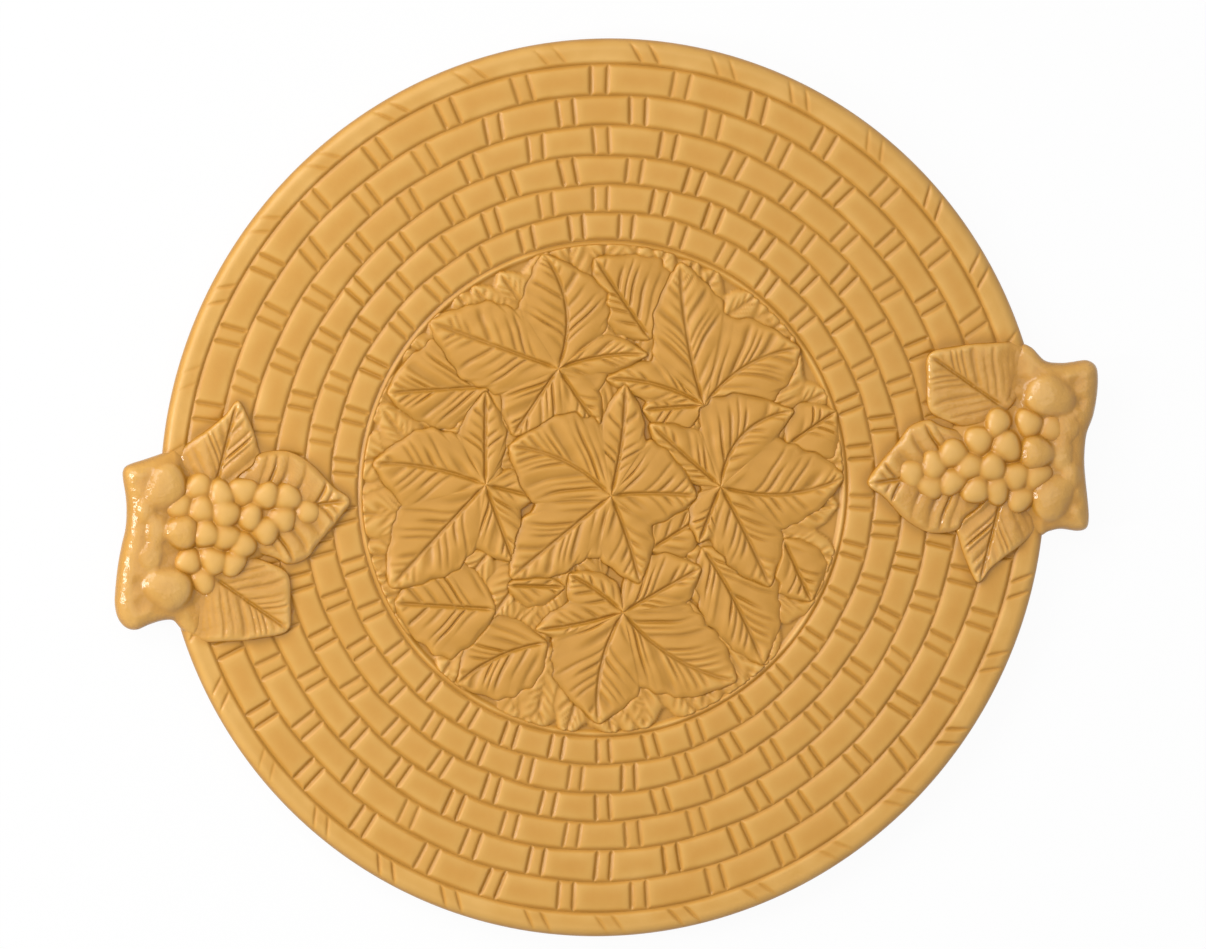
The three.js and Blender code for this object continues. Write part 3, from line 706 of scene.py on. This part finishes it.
def leaf_rows(leaf, columns, rings, floor_height, lift, covers=(), seed=0, veins=VEINS):
    """A closed leaf: a polar grid from its heart to its edge, raised from the floor by a quarter round plus
    the blended relief of its lobes, lowered under its covers, then a skirt down into the clay."""
    pick = np.random.default_rng(seed)
    turn = np.linspace(-math.pi, math.pi, columns, endpoint=False)
    reach = np.interp(turn, TURNS, leaf["reach"], period=2 * math.pi)
    steep = np.interp(turn, TURNS, leaf["steep"], period=2 * math.pi)
    out = 1 - (1 - np.linspace(0.015, 1, rings)[:, None]) ** 1.3
    x = leaf["heart"][0] + out * reach * np.cos(turn)
    y = leaf["heart"][1] + out * reach * np.sin(turn)
    edge = (1 - out) * reach / steep
    reaches = np.array([np.interp(turn, TURNS, r, period=2 * math.pi) for r in leaf["reaches"]])
    weights = np.exp((reaches - reaches.max(axis=0)) / 1.2)
    weights = weights / weights.sum(axis=0)
    relief = sum(
        weight * lobe_relief(leaf, lobe, x, y, edge, pick.uniform(0, 1), veins)
        for weight, lobe in zip(weights, leaf["lobes"])
    )
    from_stem = np.hypot(x - leaf["stem"][0], y - leaf["stem"][1])
    knob = 0.4 * np.exp(-((from_stem / 2.0) ** 2)) * (len(leaf["lobes"]) > 1)
    bend = 0.3 * np.sin(x / 9 + seed) * np.cos(y / 11 - seed)
    bend = bend + 0.13 * np.sin(x / 2.6 + 2 * np.sin(y / 4)) * np.sin(y / 3.1 + seed)
    rise = EDGE_SHARE + (1 - EDGE_SHARE) * round_edge(edge, LEAF_EDGE)
    height = floor_height + (lift + bend) * rise + (relief + knob) * round_edge(edge, LEAF_EDGE / 2)
    for cover, dive in covers:
        height = height - dive * smooth_step(depth_inside(cover, x, y), -0.3, 1.2)
    top = np.stack([x, y, height], axis=-1)
    skirt = np.stack([x[-1], y[-1], np.full(columns, floor_height - 1.2)], axis=-1)[None]
    return np.concatenate([top, skirt])


print("side veins every", VEINS[0], "mm")

# %% [markdown]
# ## Leaves of the medallion
# Six large vine leaves and nine smaller ones fill the sunk middle of the board. Their stems, and each
# lobe's bearing, length, width on either side and bow, were measured on the photograph. The list
# runs from the leaf on top to those at the back, and each leaf dives under all that come before it.

# %% Measured leaves
# name: stem, lift, lobes of (bearing, length, width to the left, width to the right, bow)
GROUND = FIELD_TOP - 1.6
MEDALLION = {
    "medallion_leaf_centre": ((2.4, -2.8), 2.3, [
        (148, 42.4, 17, 16.7, -4), (77, 41.9, 8.2, 8, -1.5), (353, 32.5, 16, 10, 1),
        (283, 34.7, 8.5, 10.5, 1), (213, 48.1, 11, 13.2, 0)]),
    "medallion_leaf_right": ((43.4, -4.0), 2.0, [
        (133, 35.3, 6.5, 9, 0), (39, 39.1, 16, 9, 7.5), (358, 46.7, 17, 10.5, -4.8),
        (291, 42, 12, 11, 0.6), (243, 22.4, 7, 7, 0)]),
    "medallion_leaf_top": ((-12.5, 45.8), 2.0, [
        (154, 51.2, 14.5, 13.8, 0), (92, 42.8, 15, 14.4, -6), (2, 34.2, 7, 6, 2),
        (299, 27.5, 7.5, 7, 0), (230, 29.8, 11, 13, 0)]),
    "medallion_leaf_left": ((-43.6, 6.5), 2.0, [
        (163, 42.8, 15, 13, -2.2), (84, 34.7, 8.5, 7, 0), (340, 20, 7, 7, 0),
        (285, 31, 8, 11, 0), (221, 51.6, 12.5, 15, 0)]),
    "medallion_leaf_bottom": ((2.8, -45.9), 2.0, [
        (139, 24.9, 11, 6, -1), (23, 33.6, 12.5, 9, 0), (185, 33.2, 5, 8, 1),
        (252, 42.2, 15.5, 17, -3.6), (323, 50.2, 16, 13, -4.5)]),
    "medallion_leaf_upper_right": ((40.2, 26.3), 1.9, [
        (94, 53.6, 11.5, 15, 2), (24, 41.5, 18, 15, 4.5), (159, 38.5, 6, 8, -2.8), (178, 23, 9, 8, 0)]),
    "back_leaf_lower_right": ((34.5, -25.4), 1.6, [(292, 49.8, 15, 11, 1.6)]),
    "back_leaf_upper_left": ((-38.3, 42.0), 1.6, [(177, 38.4, 12.5, 16, 0)]),
    "back_leaf_lower_left": ((-43.7, -39.6), 1.6, [(170, 38.4, 16, 15.5, 0)]),
    "back_leaf_bottom_left": ((-25.9, -53.8), 1.6, [(198, 37.1, 14, 13, -2.8)]),
    "back_leaf_top": ((22.8, 52.2), 1.6, [(119, 37.2, 9, 18, 0)]),
    "back_leaf_right": ((64.8, -25.7), 1.6, [(289, 26, 10, 10, 0)]),
    "back_leaf_upper_edge": ((69.3, 8.1), 1.6, [(28, 22.7, 9, 12, 0)]),
    "small_leaf_inner": ((15.0, -24.4), 1.5, [(26, 24.3, 9, 8, 0)]),
    "small_leaf_lower": ((-39.2, -31.2), 1.5, [(352, 22.2, 4.5, 7, 0)]),
}
covers = []
for number, (name, (stem, lift, lobes)) in enumerate(MEDALLION.items()):
    leaf = leaf_shape(stem, lobes)
    columns, rings = (480, 84) if len(lobes) > 1 else (300, 56)
    rows = leaf_rows(leaf, columns, rings, GROUND, 0.85 * lift, covers, seed=number)
    glazed_piece(name, rows, "glazed_leaf", [name])
    covers.append((leaf, 1.3))
print(f"{len(MEDALLION)} leaves in the medallion")

# %% [markdown]
# ## The pressed disc
# Under the weave and the leaves lies the disc itself: the sunk ground of the medallion, the smooth lip
# round it, the floor of the ring grooves, and the plain underside. It is turned like a pot: rows from the
# middle of the top, out under the rim, and back to the middle below. Between the large leaves the mould has
# the tips of lower ones: a ring of pointed leaves that reach for the lip, and a few more farther in.

# %% Ground of the medallion
MEDALLION_RADIUS = BAND_EDGES[0]
GROUND_RADIUS = MEDALLION_RADIUS - 1.8
LIP_TOP = FIELD_TOP - 0.4
GROOVE_LINE = FIELD_TOP - 1.1  # floor of the ring grooves
OUTER_FILLERS, INNER_FILLERS = 56, 50
FILLER_VEINS = (4.2, 38.0, 0.8, 0.65, 0, 0.08)


def filler_places(pick):
    """Stem, heading in degrees, length and half-width of each lower leaf: random ones inside, then a
    ring."""
    for number in range(INNER_FILLERS + OUTER_FILLERS):
        if number < INNER_FILLERS:
            radius, bearing, veer = pick.uniform(15, 62), pick.uniform(0, 360), pick.uniform(-70, 70)
        else:
            radius, bearing = pick.uniform(60, 70), 360 / OUTER_FILLERS * number + pick.normal(0, 2)
            veer = pick.normal(0, 22)
        turn = math.radians(bearing)
        stem = (radius * math.cos(turn), radius * math.sin(turn))
        yield stem, bearing + veer, pick.uniform(27, 33), pick.uniform(7.0, 10.0)


def filler_relief(x, y):
    """Lower leaves laid over one another: inside its edge each lies on or above what is below it."""
    pick = np.random.default_rng(3)
    relief = np.zeros_like(x)
    for stem, heading, length, wide in filler_places(pick):
        leaf = leaf_shape(stem, [(heading, length, wide, wide)])
        near = np.nonzero(np.hypot(x - leaf["heart"][0], y - leaf["heart"][1]) < 0.7 * length)
        edge = depth_inside(leaf, x[near], y[near])
        blade = lobe_relief(
            leaf, leaf["lobes"][0], x[near], y[near], edge, pick.uniform(0, 1), FILLER_VEINS
        )
        blade = pick.uniform(0.7, 1.3) * (0.5 + 0.5 * round_edge(edge, 2)) + blade * round_edge(edge, 1.2)
        relief[near] = np.where(edge > 0, np.maximum(blade, relief[near] - 0.3), relief[near])
    return relief


def medallion_ground():
    """A disc from the middle to the lip, raised by the lower leaves but not under the large ones, and
    closed
    below."""
    radius = np.linspace(12, GROUND_RADIUS, 108)[:, None]
    bearing = np.linspace(0, 2 * math.pi, 860, endpoint=False)
    rows = polar_rows(radius, bearing, GROUND)
    rows[:, :, 2] += filler_relief(rows[:, :, 0], rows[:, :, 1])
    for cover, dive in covers:
        rows[:, :, 2] -= dive * smooth_step(depth_inside(cover, rows[:, :, 0], rows[:, :, 1]), -0.2, 1.2)
    return np.concatenate([rows, polar_rows(radius[-1:], bearing, GROUND - 1.5)])


rows = medallion_ground()
glazed_piece("medallion_ground", rows, "glazed_body")
print(
    f"ground of {rows.shape[0]} rows and {rows.shape[1]} columns, {OUTER_FILLERS + INNER_FILLERS} lower leaves"
)


# %% Disc and lip
def pressed_disc():
    """Rows of radius and height: under the ground, softly up to the lip, down into the first ring groove,
    along
    the groove floor, and back below, where the underside sweeps up from the foot to the rim."""
    lip = np.linspace(GROUND_RADIUS - 1.5, MEDALLION_RADIUS - 0.05, 24)
    lip_height = GROUND + (LIP_TOP - GROUND) * smooth_step(lip, GROUND_RADIUS - 1.5, GROUND_RADIUS + 0.6)
    from_groove = (MEDALLION_RADIUS - lip) / GROOVE_SPREAD
    lip_height = lip_height - (LIP_TOP - GROOVE_LINE) * np.exp(-(from_groove**2))
    tail = np.array([
        [FIELD_RADIUS + 1.5, GROOVE_LINE], [FIELD_RADIUS + 2, RIM_UNDER + 2], [FIELD_RADIUS + 2, RIM_UNDER],
        [FOOT_OUTER + 20, UNDERSIDE + 1.05], [FOOT_OUTER + 4, UNDERSIDE], [FOOT_OUTER - 2, UNDERSIDE],
        [60, UNDERSIDE], [20, UNDERSIDE]])
    radius = np.concatenate([[20, 60], lip, tail[:, 0]])[:, None]
    height = np.concatenate([[GROUND - 1, GROUND - 1], lip_height, tail[:, 1]])[:, None]
    return polar_rows(radius, np.linspace(0, 2 * math.pi, 360, endpoint=False), height)


rows = pressed_disc()
glazed_piece("pressed_disc", rows, "glazed_body", ["platter_disc"])
print(f"disc of {rows.shape[0]} rows and {rows.shape[1]} columns")

# %% [markdown]
# ## The foot ring
# The photograph hides the underside. A glazed platter like this stands on a low turned ring, wiped clean of
# glaze where it meets the table, so that it doesn't stick to the kiln shelf.

# %% Foot
FOOT_INNER = FOOT_OUTER - 9.0
FOOT_TREAD = 5.0


def foot_ring():
    """A ring with a rounded tread: half the width narrows from the underside to the tread as a quarter
    ellipse."""
    middle = (FOOT_INNER + FOOT_OUTER) / 2
    turn = np.linspace(0, math.pi, 15)
    spread = np.abs(np.cos(turn)) ** 0.6 * np.sign(np.cos(turn))
    radius = middle + spread * (FOOT_OUTER - FOOT_INNER) / 2
    height = UNDERSIDE * (1 - np.sin(turn) ** 0.5)
    radius = np.where(
        height < 0.05, middle + np.clip(radius - middle, -FOOT_TREAD / 2, FOOT_TREAD / 2), radius
    )
    section = np.stack([radius, height], axis=-1)
    top = np.array([[FOOT_INNER, UNDERSIDE + 0.5], [FOOT_OUTER, UNDERSIDE + 0.5]])
    section = np.concatenate([section, top])
    bearing = np.linspace(0, 2 * math.pi, 240, endpoint=False)
    return polar_rows(section[:, :1], bearing, section[:, 1:])


rows = foot_ring()
glazed_piece("turned_foot", rows, "glazed_foot", ["foot_ring"], ring=True)
print(f"foot of {rows.shape[0]} rows")

# %% [markdown]
# ## Handles
# The two handles come from one mould, turned half round. Each is a lug with two horns that stands out of
# the rim, three leaves on the board in front of it, and a bunch of grapes over all. They were luted on by
# hand, so each lies a little off its mark.

# %% Where the handles lie
# side: bearing of the handle, and how far it lies off its mark outwards and along the rim
HANDLES = {"right": (0.0, 1.9, -1.3), "left": (math.pi, -1.9, 1.3)}


def placed(rows, side):
    """Turns rows from the handle's own frame, outward along +X, to the side of the board where it lies."""
    bearing, outward, along = HANDLES[side]
    x, y = rows[..., 0] + outward, rows[..., 1] + along
    cos, sin = math.cos(bearing), math.sin(bearing)
    return np.stack([x * cos - y * sin, x * sin + y * cos, rows[..., 2]], axis=-1)


# %% [markdown]
# ### Lugs
# The lug is a soft lump of clay with a horned outline, rounded over towards the fingers. Buds swell from it
# where the bunch of grapes hangs on, with small folds round them. The horns were pulled by hand, so each
# lug has its own outline: a score of points that a smooth curve joins. The height rises from that edge as a
# quarter circle, and each bud adds a pressed ball.

# %% Lug
LUG_HEART = np.array([168.0, -1.0])
LUG_INSIDE = [(157.5, 36), (151, 28), (148, 10), (148, -12), (151, -27), (158, -34)]
LUG_OUTLINES = {
    "right": [
        (162, -33.2), (166.5, -32.8), (172.5, -34.2), (175.9, -33.8), (177.3, -31.2), (177.7, -25.5),
        (
            177.6, -15.7
        ), (177.9, -7.9), (179.5, 0.7), (182.6, 7.2), (184.8, 14.8), (185.8, 21.5), (185.3, 25.6),
        (182.2, 27.9), (177, 27.9), (172.4, 28), (166.6, 29.6), (162, 35)],
    "left": [
        (162, -32.8), (169, -31.2), (175.8, -29.8), (178, -28), (178.4, -25), (178, -18.1), (178.3, -12.3),
        (179.3, -6.5), (181.2, -0.9), (183.4, 6.7), (185.2, 15.3), (185.9, 21.1), (185.1, 26), (
            182.6, 29.5
        ),
        (178.9, 30.7), (173.9, 29.3), (168.8, 28.4), (164.9, 28.9), (162.5, 32)],
}
LUG_LOW, LUG_MIDDLE, LUG_TOP = 7.2, 10.8, 15.7
LUG_ROUND = 5.4
LUG_VALLEY = 0.75  # rounding of the creases round the buds
FOLD_HEIGHT = {"right": 0.4, "left": 0.25}
# buds and smaller lumps: middle, radius, top, flatness, stretch and its direction in degrees
BUDS = [
    (166.4, 16.4, 8.6, 18.3, 0.48, 1.1, -20), (163.6, -20.2, 8.3, 18.2, 0.48, 1.08, 60),
    (159.2, -3.6, 6.8, 18.9, 0.6, 1.0, 0), (171.6, 4.0, 5.2, 16.7, 0.5, 1.2, 70),
    (168.6, -5.0, 5.4, 16.9, 0.5, 1.2, 80), (171.4, -13.6, 4.8, 16.5, 0.5, 1.2, 80)]


def ball_height(x, y, ball):
    """Upper half of a pressed, oval ball with a given middle, radius, top, flatness and stretch: flatter on
    top
    than a sphere, with an edge that waves three times round; beyond it, a steep slope down."""
    middle_x, middle_y, radius, top, flatness, stretch, direction = ball
    turn = math.radians(direction)
    dx, dy = x - middle_x, y - middle_y
    along, across = dx * math.cos(turn) + dy * math.sin(turn), dy * math.cos(turn) - dx * math.sin(turn)
    uneven = 1 + 0.06 * np.sin(3 * np.arctan2(dy, dx) + middle_x)
    away = np.hypot(along / stretch, across * stretch) / (radius * uneven)
    drop = 1 - np.sqrt(1 - np.minimum(away, 0.98) ** 2.3)
    return top - radius * flatness * (drop + 3 * np.maximum(away - 0.98, 0))


def soft_maximum(heights, rounding):
    """The highest of several surfaces, with rounded valleys: the logarithm of the sum of their
    exponentials."""
    heights = np.array(heights)
    peak = heights.max(axis=0)
    return peak + rounding * np.log(np.exp((heights - peak) / rounding).sum(axis=0))


def outline_distance(x, y, outline):
    """Distance from each point to the nearest side of a closed outline."""
    start, side = outline, np.roll(outline, -1, axis=0) - outline
    dx, dy = x[..., None] - start[:, 0], y[..., None] - start[:, 1]
    share = np.clip((dx * side[:, 0] + dy * side[:, 1]) / (side**2).sum(axis=1), 0, 1)
    return np.hypot(dx - share * side[:, 0], dy - share * side[:, 1]).min(axis=-1)


def lug_rows(side, columns=320, rings=58):
    """A closed lump: a polar grid from its heart to its outline. Its top and its underside each rise from
    the edge as a quarter circle of the distance inside the outline; buds with folds round them stand on
    it."""
    turn = np.linspace(-math.pi, math.pi, columns, endpoint=False)
    line = closed_curve(LUG_OUTLINES[side] + LUG_INSIDE)
    reach = np.interp(turn, TURNS, ray_reach(line, LUG_HEART), period=2 * math.pi)
    edge_line = np.stack(
        [LUG_HEART[0] + reach * np.cos(turn), LUG_HEART[1] + reach * np.sin(turn)], axis=-1
    )
    out = 1 - (1 - np.linspace(0.02, 1, rings)[:, None]) ** 1.6
    x = LUG_HEART[0] + out * reach * np.cos(turn)
    y = LUG_HEART[1] + out * reach * np.sin(turn)
    edge = outline_distance(x, y, edge_line)
    top = LUG_TOP - 2.2 * smooth_step(-x, -168, -154)
    top = top + 0.2 * np.sin(x / 2.9 + np.sin(y / 5)) * np.sin(y / 4.1 + x / 6) * smooth_step(edge, 3, 7)
    for middle_x, middle_y, radius, *_ in BUDS[:2]:
        away = np.hypot(x - middle_x, y - middle_y) / radius
        rays = np.sin(9 * np.arctan2(y - middle_y, x - middle_x) + 1)
        top = top + FOLD_HEIGHT[side] * rays * np.exp(
            -(((away - 1.35) / 0.3) ** 2)
        ) * smooth_step(edge, 2, 5)
    top = soft_maximum([top] + [ball_height(x, y, bud) for bud in BUDS], LUG_VALLEY)
    upper = np.stack([x, y, LUG_MIDDLE + (top - LUG_MIDDLE) * round_edge(edge, LUG_ROUND)], axis=-1)
    lower = np.stack([x, y, LUG_MIDDLE - (LUG_MIDDLE - LUG_LOW) * round_edge(edge, LUG_ROUND)], axis=-1)
    return np.concatenate([upper, lower[-2::-1]])


for side in HANDLES:
    glazed_piece(f"{side}_lug", placed(lug_rows(side), side), "glazed_handle", [f"{side}_handle_lug"])
print("lugs placed at", ", ".join(HANDLES))

# %% [markdown]
# ### Leaves of the handles
# The same leaf formula gives the three leaves of a handle. They lie on the weave instead of the sunk
# ground.

# %% Handle leaves
# name: base, lift, side veins, middle vein as a lobe, points of the edge
LUG_SEAM = (146.0, 159.0)  # where a leaf's outer edge sinks into the lug
HANDLE_LEAVES = {
    "inner_leaf": ((143, -7), 1.9, (6.6, 50, 0.8, 0.9, 0, 0.45), [(181, 47, 20, 21, 0)], [
        (96, -7.6), (101.8, -0.3), (108.5, 6), (114, 11.5), (121, 13), (126, 10), (140, 4), (146, -6),
        (138, -20), (131, -25), (128, -28.5), (121, -29), (115, -27.3), (108, -21.8), (101.8, -13.8)]),
    "broad_leaf": ((149.5, 14), 2.0, (4.2, 48, 0.45, 0.55, 0, 0.06), [(139, 35, 18, 22, 0)], [
        (151, 13), (161, 25), (158, 36.5), (147, 38.5), (135, 38.8), (123.5, 37), (121.5, 27), (
            121.5, 16.5
        ),
        (128, 11.5), (135, 8.5), (143, 9)]),
    "pointed_leaf": ((146, -16), 1.9, (5.2, 27, 0.7, 0.75, 1, 0.15), [(250, 35, 14, 14, 0)], [
        (133.5, -48.7), (139, -44), (145.5, -39.8), (152, -36.3), (157, -32), (157, -26), (152, -18),
        (142, -15), (132, -20), (127.5, -26), (128, -32), (129.8, -40)]),
}
for side in HANDLES:
    covers = []
    for number, (name, (stem, lift, veins, lobes, outline)) in enumerate(HANDLE_LEAVES.items()):
        leaf = leaf_shape(stem, lobes, outline)
        rows = leaf_rows(leaf, 320, 58, FIELD_TOP - 0.4, lift, covers, 20 + number, veins)
        rows[:, :, 2] -= 1.6 * smooth_step(rows[:, :, 0], *LUG_SEAM)
        glazed_piece(f"{side}_{name}", placed(rows, side), "glazed_handle", [f"{side}_handle_{name}"])
        covers.append((leaf, 1.3))
print(f"{len(HANDLE_LEAVES)} leaves on each handle")

# %% [markdown]
# ### Grapes
# A bunch is some twenty little balls of clay pressed side by side on to a mound. Their places were measured
# on each handle of the photograph. Pressed balls and glaze leave no gap, only a valley, so the bunch
# is one surface: at each point the highest ball counts, and a soft maximum rounds the valleys.

# %% Grape bunches
GRAPE_RADIUS = 5.7
VALLEY = 0.28  # rounding of the valleys
BUNCH_MIDDLE = np.array([142.0, -4.0])
BUNCH_HALVES = np.array([36.0, 24.0])
BUNCH_HEIGHT = 3.6
BUNCH_OUTLINE = [
    (104, -6), (112, 5), (124, 11), (138, 18), (150, 23), (162, 26), (173, 24), (177, 14), (173, 2), (
        171, -8
    ),
    (171, -26), (162, -31), (149, -26), (135, -22), (118, -18), (107, -13)]
GRAPES = {
    "right": [
        (114.9, -7.1), (123.1, -5.1), (121.4, -12.5), (130.4, -1.6), (
            129.5, -11.7
        ), (136.3, -6.9), (140.5, 1.9),
        (137.8, -15.7), (144.2, -8.1), (145.4, -16.2), (148.0, 7.6), (150.5, -1.3), (152.8, -12.4),
        (154.0, -20.5), (159.9, 6.2), (160.7, -13.0), (168.3, 3.3), (169.6, -17.9)],
    "left": [
        (149.6, -17.4), (141.7, -13.6), (133.5, -14.1), (125.4, -11.8), (117.7, -10.2), (110.4, -4.1),
        (157.3, -11.5), (149.3, -9.2), (140.9, -7.2), (131.8, -4.8), (119.9, -2.7), (158.6, -2.2),
        (148.7, -0.7), (141.7, 1.2), (135.6, 5.1), (126.6, 0.8), (156.0, 8.7), (146.8, 9.4), (139.8, 11.3),
        (151.0, 16.0)],
}


def mound_height(x, y):
    """Height of the bunch over the weave: one less the square of the distance scaled by the bunch's
    halves."""
    share = ((x - BUNCH_MIDDLE[0]) / BUNCH_HALVES[0]) ** 2 + ((y - BUNCH_MIDDLE[1]) / BUNCH_HALVES[1]) ** 2
    return FIELD_TOP + 0.4 + BUNCH_HEIGHT * np.clip(1 - share, -0.6, 1)


def bunch_rows(balls, columns=420, rings=110):
    """A polar grid inside an outline: the soft maximum of all balls over a floor that slopes down to the
    weave;
    then a skirt into the clay."""
    turn = np.linspace(0, 2 * math.pi, columns, endpoint=False)
    out = np.linspace(0.01, 1, rings)[:, None]
    reach = np.interp(turn, TURNS, ray_reach(closed_curve(BUNCH_OUTLINE), BUNCH_MIDDLE), period=2 * math.pi)
    x = BUNCH_MIDDLE[0] + out * reach * np.cos(turn)
    y = BUNCH_MIDDLE[1] + out * reach * np.sin(turn)
    floor_height = mound_height(x, y) - 1.2 - 3.1 * smooth_step(out, 0.6, 1.0)
    top = soft_maximum([floor_height] + [ball_height(x, y, ball) for ball in balls], VALLEY)
    top = top - 4 * smooth_step(out, 0.97, 1.0)
    skirt = np.stack([x[-1], y[-1], np.full(columns, FIELD_TOP - 3.0)], axis=-1)[None]
    return np.concatenate([np.stack([x, y, top], axis=-1), skirt])


for side, centres in GRAPES.items():
    bearing, outward, along = HANDLES[side]
    pick = np.random.default_rng(len(side))
    balls = []
    for x, y in np.array(centres) - (outward, along):
        radius = GRAPE_RADIUS * pick.uniform(0.9, 1.06)
        top = float(mound_height(x, y)) + pick.uniform(1.3, 2.1)
        balls.append(
            (x, y, radius, top, pick.uniform(0.55, 0.68), pick.uniform(0.9, 1.12), pick.uniform(0, 180))
        )
    rows = bunch_rows(balls)
    glazed_piece(f"{side}_grapes", placed(rows, side), "glazed_grape", [f"{side}_grape_bunch"])
    print(f"{len(balls)} grapes on the {side}")

# %% [markdown]
# ## Where the glaze runs, and where shade is painted
# Molten glaze leaves the crests and gathers in hollows. A map of the whole relief tells which is which:
# every point that lies lower than the blurred relief round it is in a hollow, and every point above it is
# on a crest. A second, wider blur adds painted shade: points low in a broad hollow are coloured darker, as
# if shade fell there. The map is a fine square grid that keeps the highest point in each cell. A Gaussian
# blur by Fourier transform takes a moment for the whole board.

# %% Relief map, and the attribute of glaze depth with painted shade
CELL = 0.6
MARGIN = 12.0
map_low = np.array([cad_low.x, cad_low.y]) / MM - MARGIN
map_size = np.ceil((np.array([cad_high.x, cad_high.y]) / MM + MARGIN - map_low) / CELL).astype(int)
OUTSIDE = FIELD_TOP - 5.0
relief = np.zeros(map_size)
for mesh, points in SHAPES:
    upper = points[points[:, 2] > OUTSIDE]
    cells = np.floor((upper[:, :2] - map_low) / CELL).astype(int)
    np.maximum.at(relief, (cells[:, 0], cells[:, 1]), upper[:, 2])


def blurred(values, spread):
    """Gaussian blur: the transform of the map times exp(-2 (pi spread f)^2), and back."""
    fx = np.fft.fftfreq(values.shape[0], CELL)[:, None]
    fy = np.fft.rfftfreq(values.shape[1], CELL)
    bell = np.exp(-2 * (math.pi * spread) ** 2 * (fx**2 + fy**2))
    return np.fft.irfft2(np.fft.rfft2(values) * bell, values.shape)


def sampled(values, points):
    """Value of a map under each point, blended between the four nearest cells."""
    place = (points[:, :2] - map_low) / CELL - 0.5
    cell = np.floor(place).astype(int)
    across = place - cell
    blend_x = values[cell[:, 0], cell[:, 1]] * (1 - across[:, 0]) + values[
        cell[:, 0] + 1, cell[:, 1]
    ] * across[:, 0]
    next_x = values[cell[:, 0], cell[:, 1] + 1] * (1 - across[:, 0])
    next_x = next_x + values[cell[:, 0] + 1, cell[:, 1] + 1] * across[:, 0]
    return blend_x * (1 - across[:, 1]) + next_x * across[:, 1]


known = (relief > 0).astype(float)
weight = blurred(known, 1.3)
filled = blurred(relief, 1.3) / np.maximum(weight, 1e-3)
relief = np.where(known > 0, relief, np.where(weight > 0.02, filled, OUTSIDE))
# the near blur gives the glaze's own pooling; the wide blur is painted shade, darkening broad hollows
near_map, wide_shade_map = blurred(relief, 1.5), blurred(relief, 4.5)
for mesh, points in SHAPES:
    near, wide = sampled(near_map, points) - points[:, 2], sampled(wide_shade_map, points) - points[:, 2]
    # near is the glaze pool; wide adds painted shade where a point lies low in a broad hollow
    hollow = near / 0.65 + wide / 6.0
    hidden = points[:, 2] < sampled(relief, points) - 2.5
    pool_and_shade = np.where(hidden, 0.1, np.tanh(hollow + 0.1))
    out = np.hypot(points[:, 0], points[:, 1])
    breaking = 0.3 * smooth_step(out, 158, 166) + 0.3 * smooth_step(out, 178, 188)
    for label, values in (("pool_and_shade", pool_and_shade), ("breaking", breaking)):
        mesh.attributes.new(label, "FLOAT", "POINT").data.foreach_set("value", values.astype(np.float32))
print(f"relief map of {relief.shape[0]} by {relief.shape[1]} cells, pool set on {len(SHAPES)} pieces")
